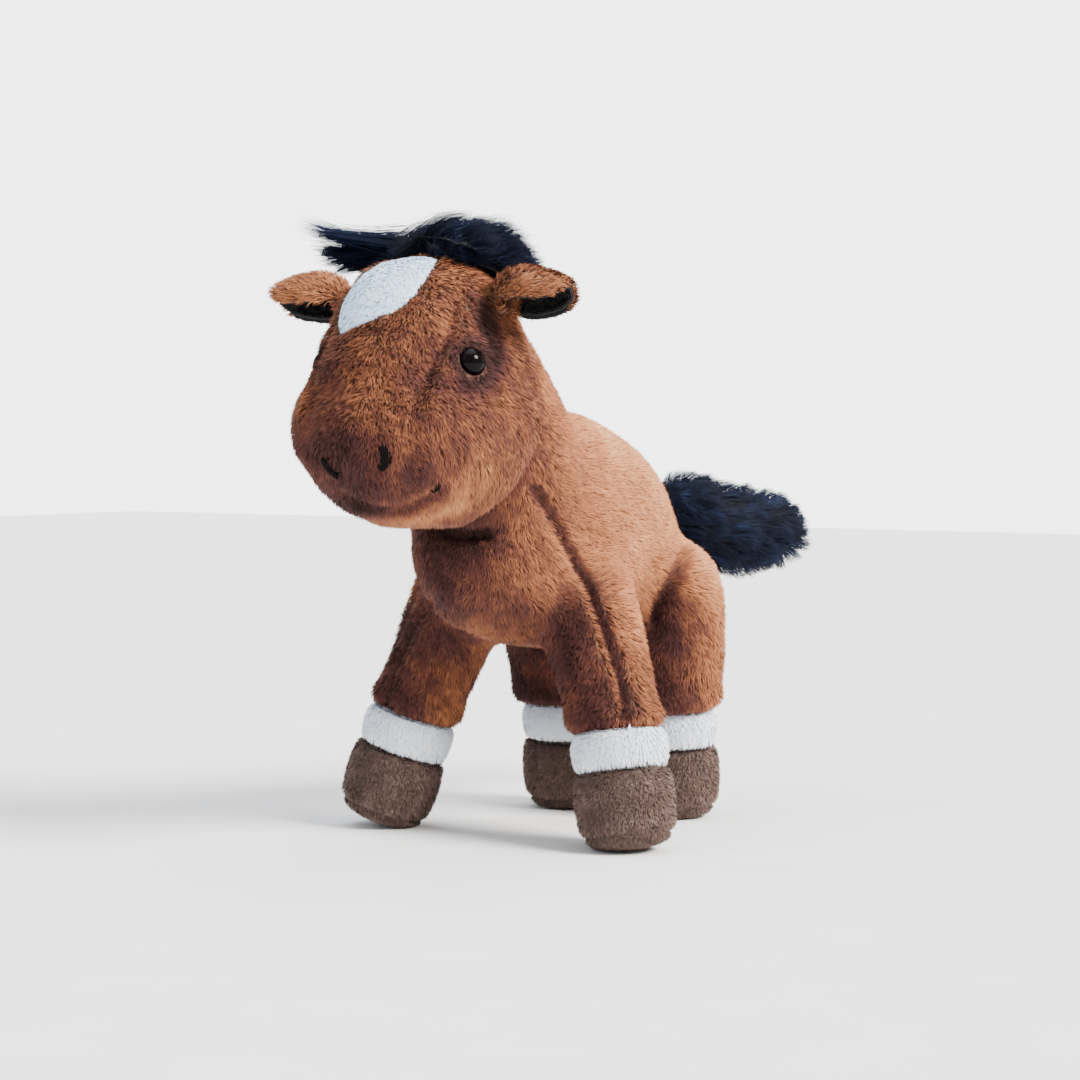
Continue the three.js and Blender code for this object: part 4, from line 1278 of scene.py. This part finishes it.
# Wisps: root, bend and tip pixels, how many fibres, and how wide the wisp is at its root and at its tip in mm
FORELOCK_WISPS = [
    ((402, 246), (355, 243), (303, 225), 546, 6.0, 0.7),
    ((400, 248), (350, 240), (312, 232), 338, 5.0, 0.6),
    ((398, 250), (352, 252), (318, 249), 494, 5.0, 0.8),
    ((392, 252), (350, 258), (322, 261), 546, 5.0, 1.0),
    ((382, 256), (352, 263), (336, 272), 468, 5.0, 1.2),
    ((404, 246), (372, 240), (345, 236), 390, 5.0, 0.9),
]
MANE_WISPS = [
    ((410, 250), (412, 232), (440, 221), 546, 7.0, 2.2),
    ((430, 248), (438, 222), (470, 219), 546, 8.0, 2.2),
    ((450, 250), (462, 224), (497, 226), 546, 8.0, 2.2),
    ((465, 256), (485, 228), (520, 233), 546, 8.0, 2.2),
    ((475, 262), (500, 236), (529, 238), 494, 8.0, 2.2),
    ((485, 266), (510, 246), (533, 252), 494, 7.0, 2.0),
    ((492, 270), (515, 258), (538, 268), 494, 6.0, 2.0),
    ((408, 252), (420, 240), (462, 232), 390, 7.0, 2.2),
]
WISP_WIDTH = 0.22 * MM
WISP_BENDS = 6
# The thickness of the forelock's base at its tip, as a share of its own
LOCK_TIP = 0.22


def wisps(name, rows, seed, depth):
    """Long fibres in wisps, each a little in front of or behind the middle of the tuft."""
    centre = box_middle(name)
    place_rng = np.random.default_rng(seed)
    rng = np.random.default_rng(seed + 1)
    lines, tones = [], []
    for *pixels, count, root_width, tip_width in rows:
        shift = np.array(back) * place_rng.uniform(-depth, depth)
        root, bend, tip = (at_depth(pixel, centre) + shift for pixel in pixels)
        offsets = rng.normal(size=(count, 3)) * 0.5
        reach = rng.uniform(0.6, 1.08, count)
        stray = rng.normal(0, 0.06, (count, 3))
        steps = []
        for index in range(WISP_BENDS + 1):
            share = (reach * index / WISP_BENDS)[:, None]
            middle = (1 - share) ** 2 * root + 2 * share * (1 - share) * bend + share ** 2 * tip
            wide = root_width * MM + (tip_width * MM - root_width * MM) * share
            steps.append(middle + offsets * wide + stray * share ** 2 * np.linalg.norm(tip - root))
        lines.append(np.stack(steps, 1))
        tones.append(0.4 + rng.normal(0, 0.1) + rng.normal(0, 0.1, count))
    line = np.concatenate(lines)
    normals = np.tile(np.array(upward * 0.8 + back * 0.6), (len(line), 1))
    pile = pile_mesh(f"{name}_wisps", line, normals, WISP_WIDTH, np.concatenate(tones), seed + 2, 0.4)
    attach(dress(pile, black_pile, "pile_black"), "head")


def tapered(surface):
    """Narrows the forelock towards its tip on the far side, about its own centre line."""
    along = surface.points @ np.array([-1.0, 0.0, 0.0])
    share = (along - along.min()) / np.ptp(along)
    places = np.linspace(0, 1, 13)
    weights = [bell(share - place, 0.08) for place in places]
    centres = np.stack([np.average(surface.points, axis=0, weights=weight) for weight in weights])
    middle = np.stack([np.interp(share, places, centres[:, axis]) for axis in range(3)], 1)
    surface.points = middle + (surface.points - middle) * (1 - (1 - LOCK_TIP) * np.sqrt(share))[:, None]
    surface.refresh()
    surface.write()


# Bumps and hollows of the tail's outline: pixel, reach and height
TAIL_DABS = [
    ((700, 478), 12 * MM, 1.5 * MM),
    ((745, 500), 9 * MM, -3.5 * MM),
    ((778, 494), 9 * MM, 3.0 * MM),
    ((803, 526), 5 * MM, -4.5 * MM),
    ((804, 510), 6 * MM, 3.0 * MM),
    ((803, 548), 7 * MM, 3.5 * MM),
    ((760, 574), 9 * MM, -1.5 * MM),
]


def lumpy(surface):
    """Gives the tail the bumps of its outline."""
    tail_middle = node_points("tail").mean(0)
    for pixel, reach, height in TAIL_DABS:
        surface.dab(at_depth(pixel, tail_middle), reach, height)
    surface.write()


mane = hair_base("mane", "head", 1.2 * MM, 6.2 * MM)
roots, normals, _ = sampled(mane, 3.8 / MM ** 2, 51)
flow = np.tile(np.array([0.6, 0.65, 0.25]), (len(roots), 1))
length = 15 * MM * (1 + 0.3 * waves(roots, 14 * MM, 54))
long_pile("mane", "head", roots, normals, flow, length, 52)

lock = hair_base("forelock", "head", 1.0 * MM, 3.6 * MM, tapered)
roots, normals, _ = sampled(lock, 3.6 / MM ** 2, 61)
flow = np.tile(np.array([-1.0, -0.1, 0.15]), (len(roots), 1))
long_pile("forelock", "head", roots, normals, flow, 12 * MM, 62)

wisps("forelock", FORELOCK_WISPS, 63, 3 * MM)
wisps("mane", MANE_WISPS, 53, 10 * MM)

tail = hair_base("tail", "tail", 1.6 * MM, 4.5 * MM, lumpy)
roots, normals, _ = sampled(tail, 2.6 / MM ** 2, 71)
tail_way = unit((np.array(box_middle("tail")) - np.array(joint_place("tail_lift")))[None, :])
flow = unit(np.tile(tail_way, (len(roots), 1)) + normals * 0.35)
length = 10 * MM * (1 + 0.35 * waves(roots, 22 * MM, 73))
long_pile("tail", "tail", roots, normals, flow, length, 72)


# Stage, light and camera

STUDIO_WHITE = "#F4F5F7"
LIGHT_ROUND = 0.8
BACKDROP_LIGHT = 5.0
# Each lamp: its direction from the horse, its angle in degrees, its strength and its colour
LAMPS = [
    ("key_light", (1.5, 0.04, 1.15), 24, 10.5, "#FFFAF4"),
    ("fill_light", (-0.9, -1.4, 1.1), 60, 0.8, "#EEF3FF"),
    ("top_light", (0.0, 0.1, 1.7), 60, 3.0, "#F4F8FF"),
]


def stage():
    """A pale floor, wide enough for every view."""
    bm = bmesh.new()
    bmesh.ops.create_grid(bm, x_segments=1, y_segments=1, size=3.0)
    floor = piece_from(bm, "floor")
    floor.data.materials.append(mottled_material("pale_studio_floor", 40 * MM, "#EDEDEC", "#F2F2F1", 0.8))


def studio_world():
    """Soft light from all round. The backdrop itself is brighter, as a lit white one is."""
    world = bpy.data.worlds.new("studio")
    world.use_nodes = True
    world.node_tree.nodes.clear()
    seen = add(world, "ShaderNodeLightPath").outputs["Is Camera Ray"]
    light, backdrop = (
        add(world, "ShaderNodeBackground", {"Color": linear(STUDIO_WHITE), "Strength": strength}).outputs[0]
        for strength in (LIGHT_ROUND, BACKDROP_LIGHT)
    )
    mixed = add(world, "ShaderNodeMixShader", {"Fac": seen, 1: light, 2: backdrop})
    add(world, "ShaderNodeOutputWorld", {"Surface": mixed.outputs["Shader"]})
    scene.world = world


def soft_sun(name, direction, angle, strength, colour):
    """A large soft light, far enough away to light the floor evenly."""
    data = bpy.data.lights.new(name, "SUN")
    data.angle = math.radians(angle)
    data.energy = strength
    data.color = linear(colour)[:3]
    lamp = bpy.data.objects.new(name, data)
    lamp.location = AIM + Vector(direction)
    lamp.rotation_euler = (-Vector(direction)).to_track_quat("-Z", "Y").to_euler()
    scene.collection.objects.link(lamp)


stage()
for lamp_values in LAMPS:
    soft_sun(*lamp_values)
studio_world()

lens = bpy.data.cameras.new("photo_camera")
lens.lens = LENS
lens.sensor_width = SENSOR
lens.clip_start = 0.05
lens.clip_end = 20
camera = bpy.data.objects.new("photo_camera", lens)
camera.location = eyepoint
camera.rotation_mode = "QUATERNION"
camera.rotation_quaternion = (-back).to_track_quat("-Z", "Y")
scene.collection.objects.link(camera)
scene.camera = camera
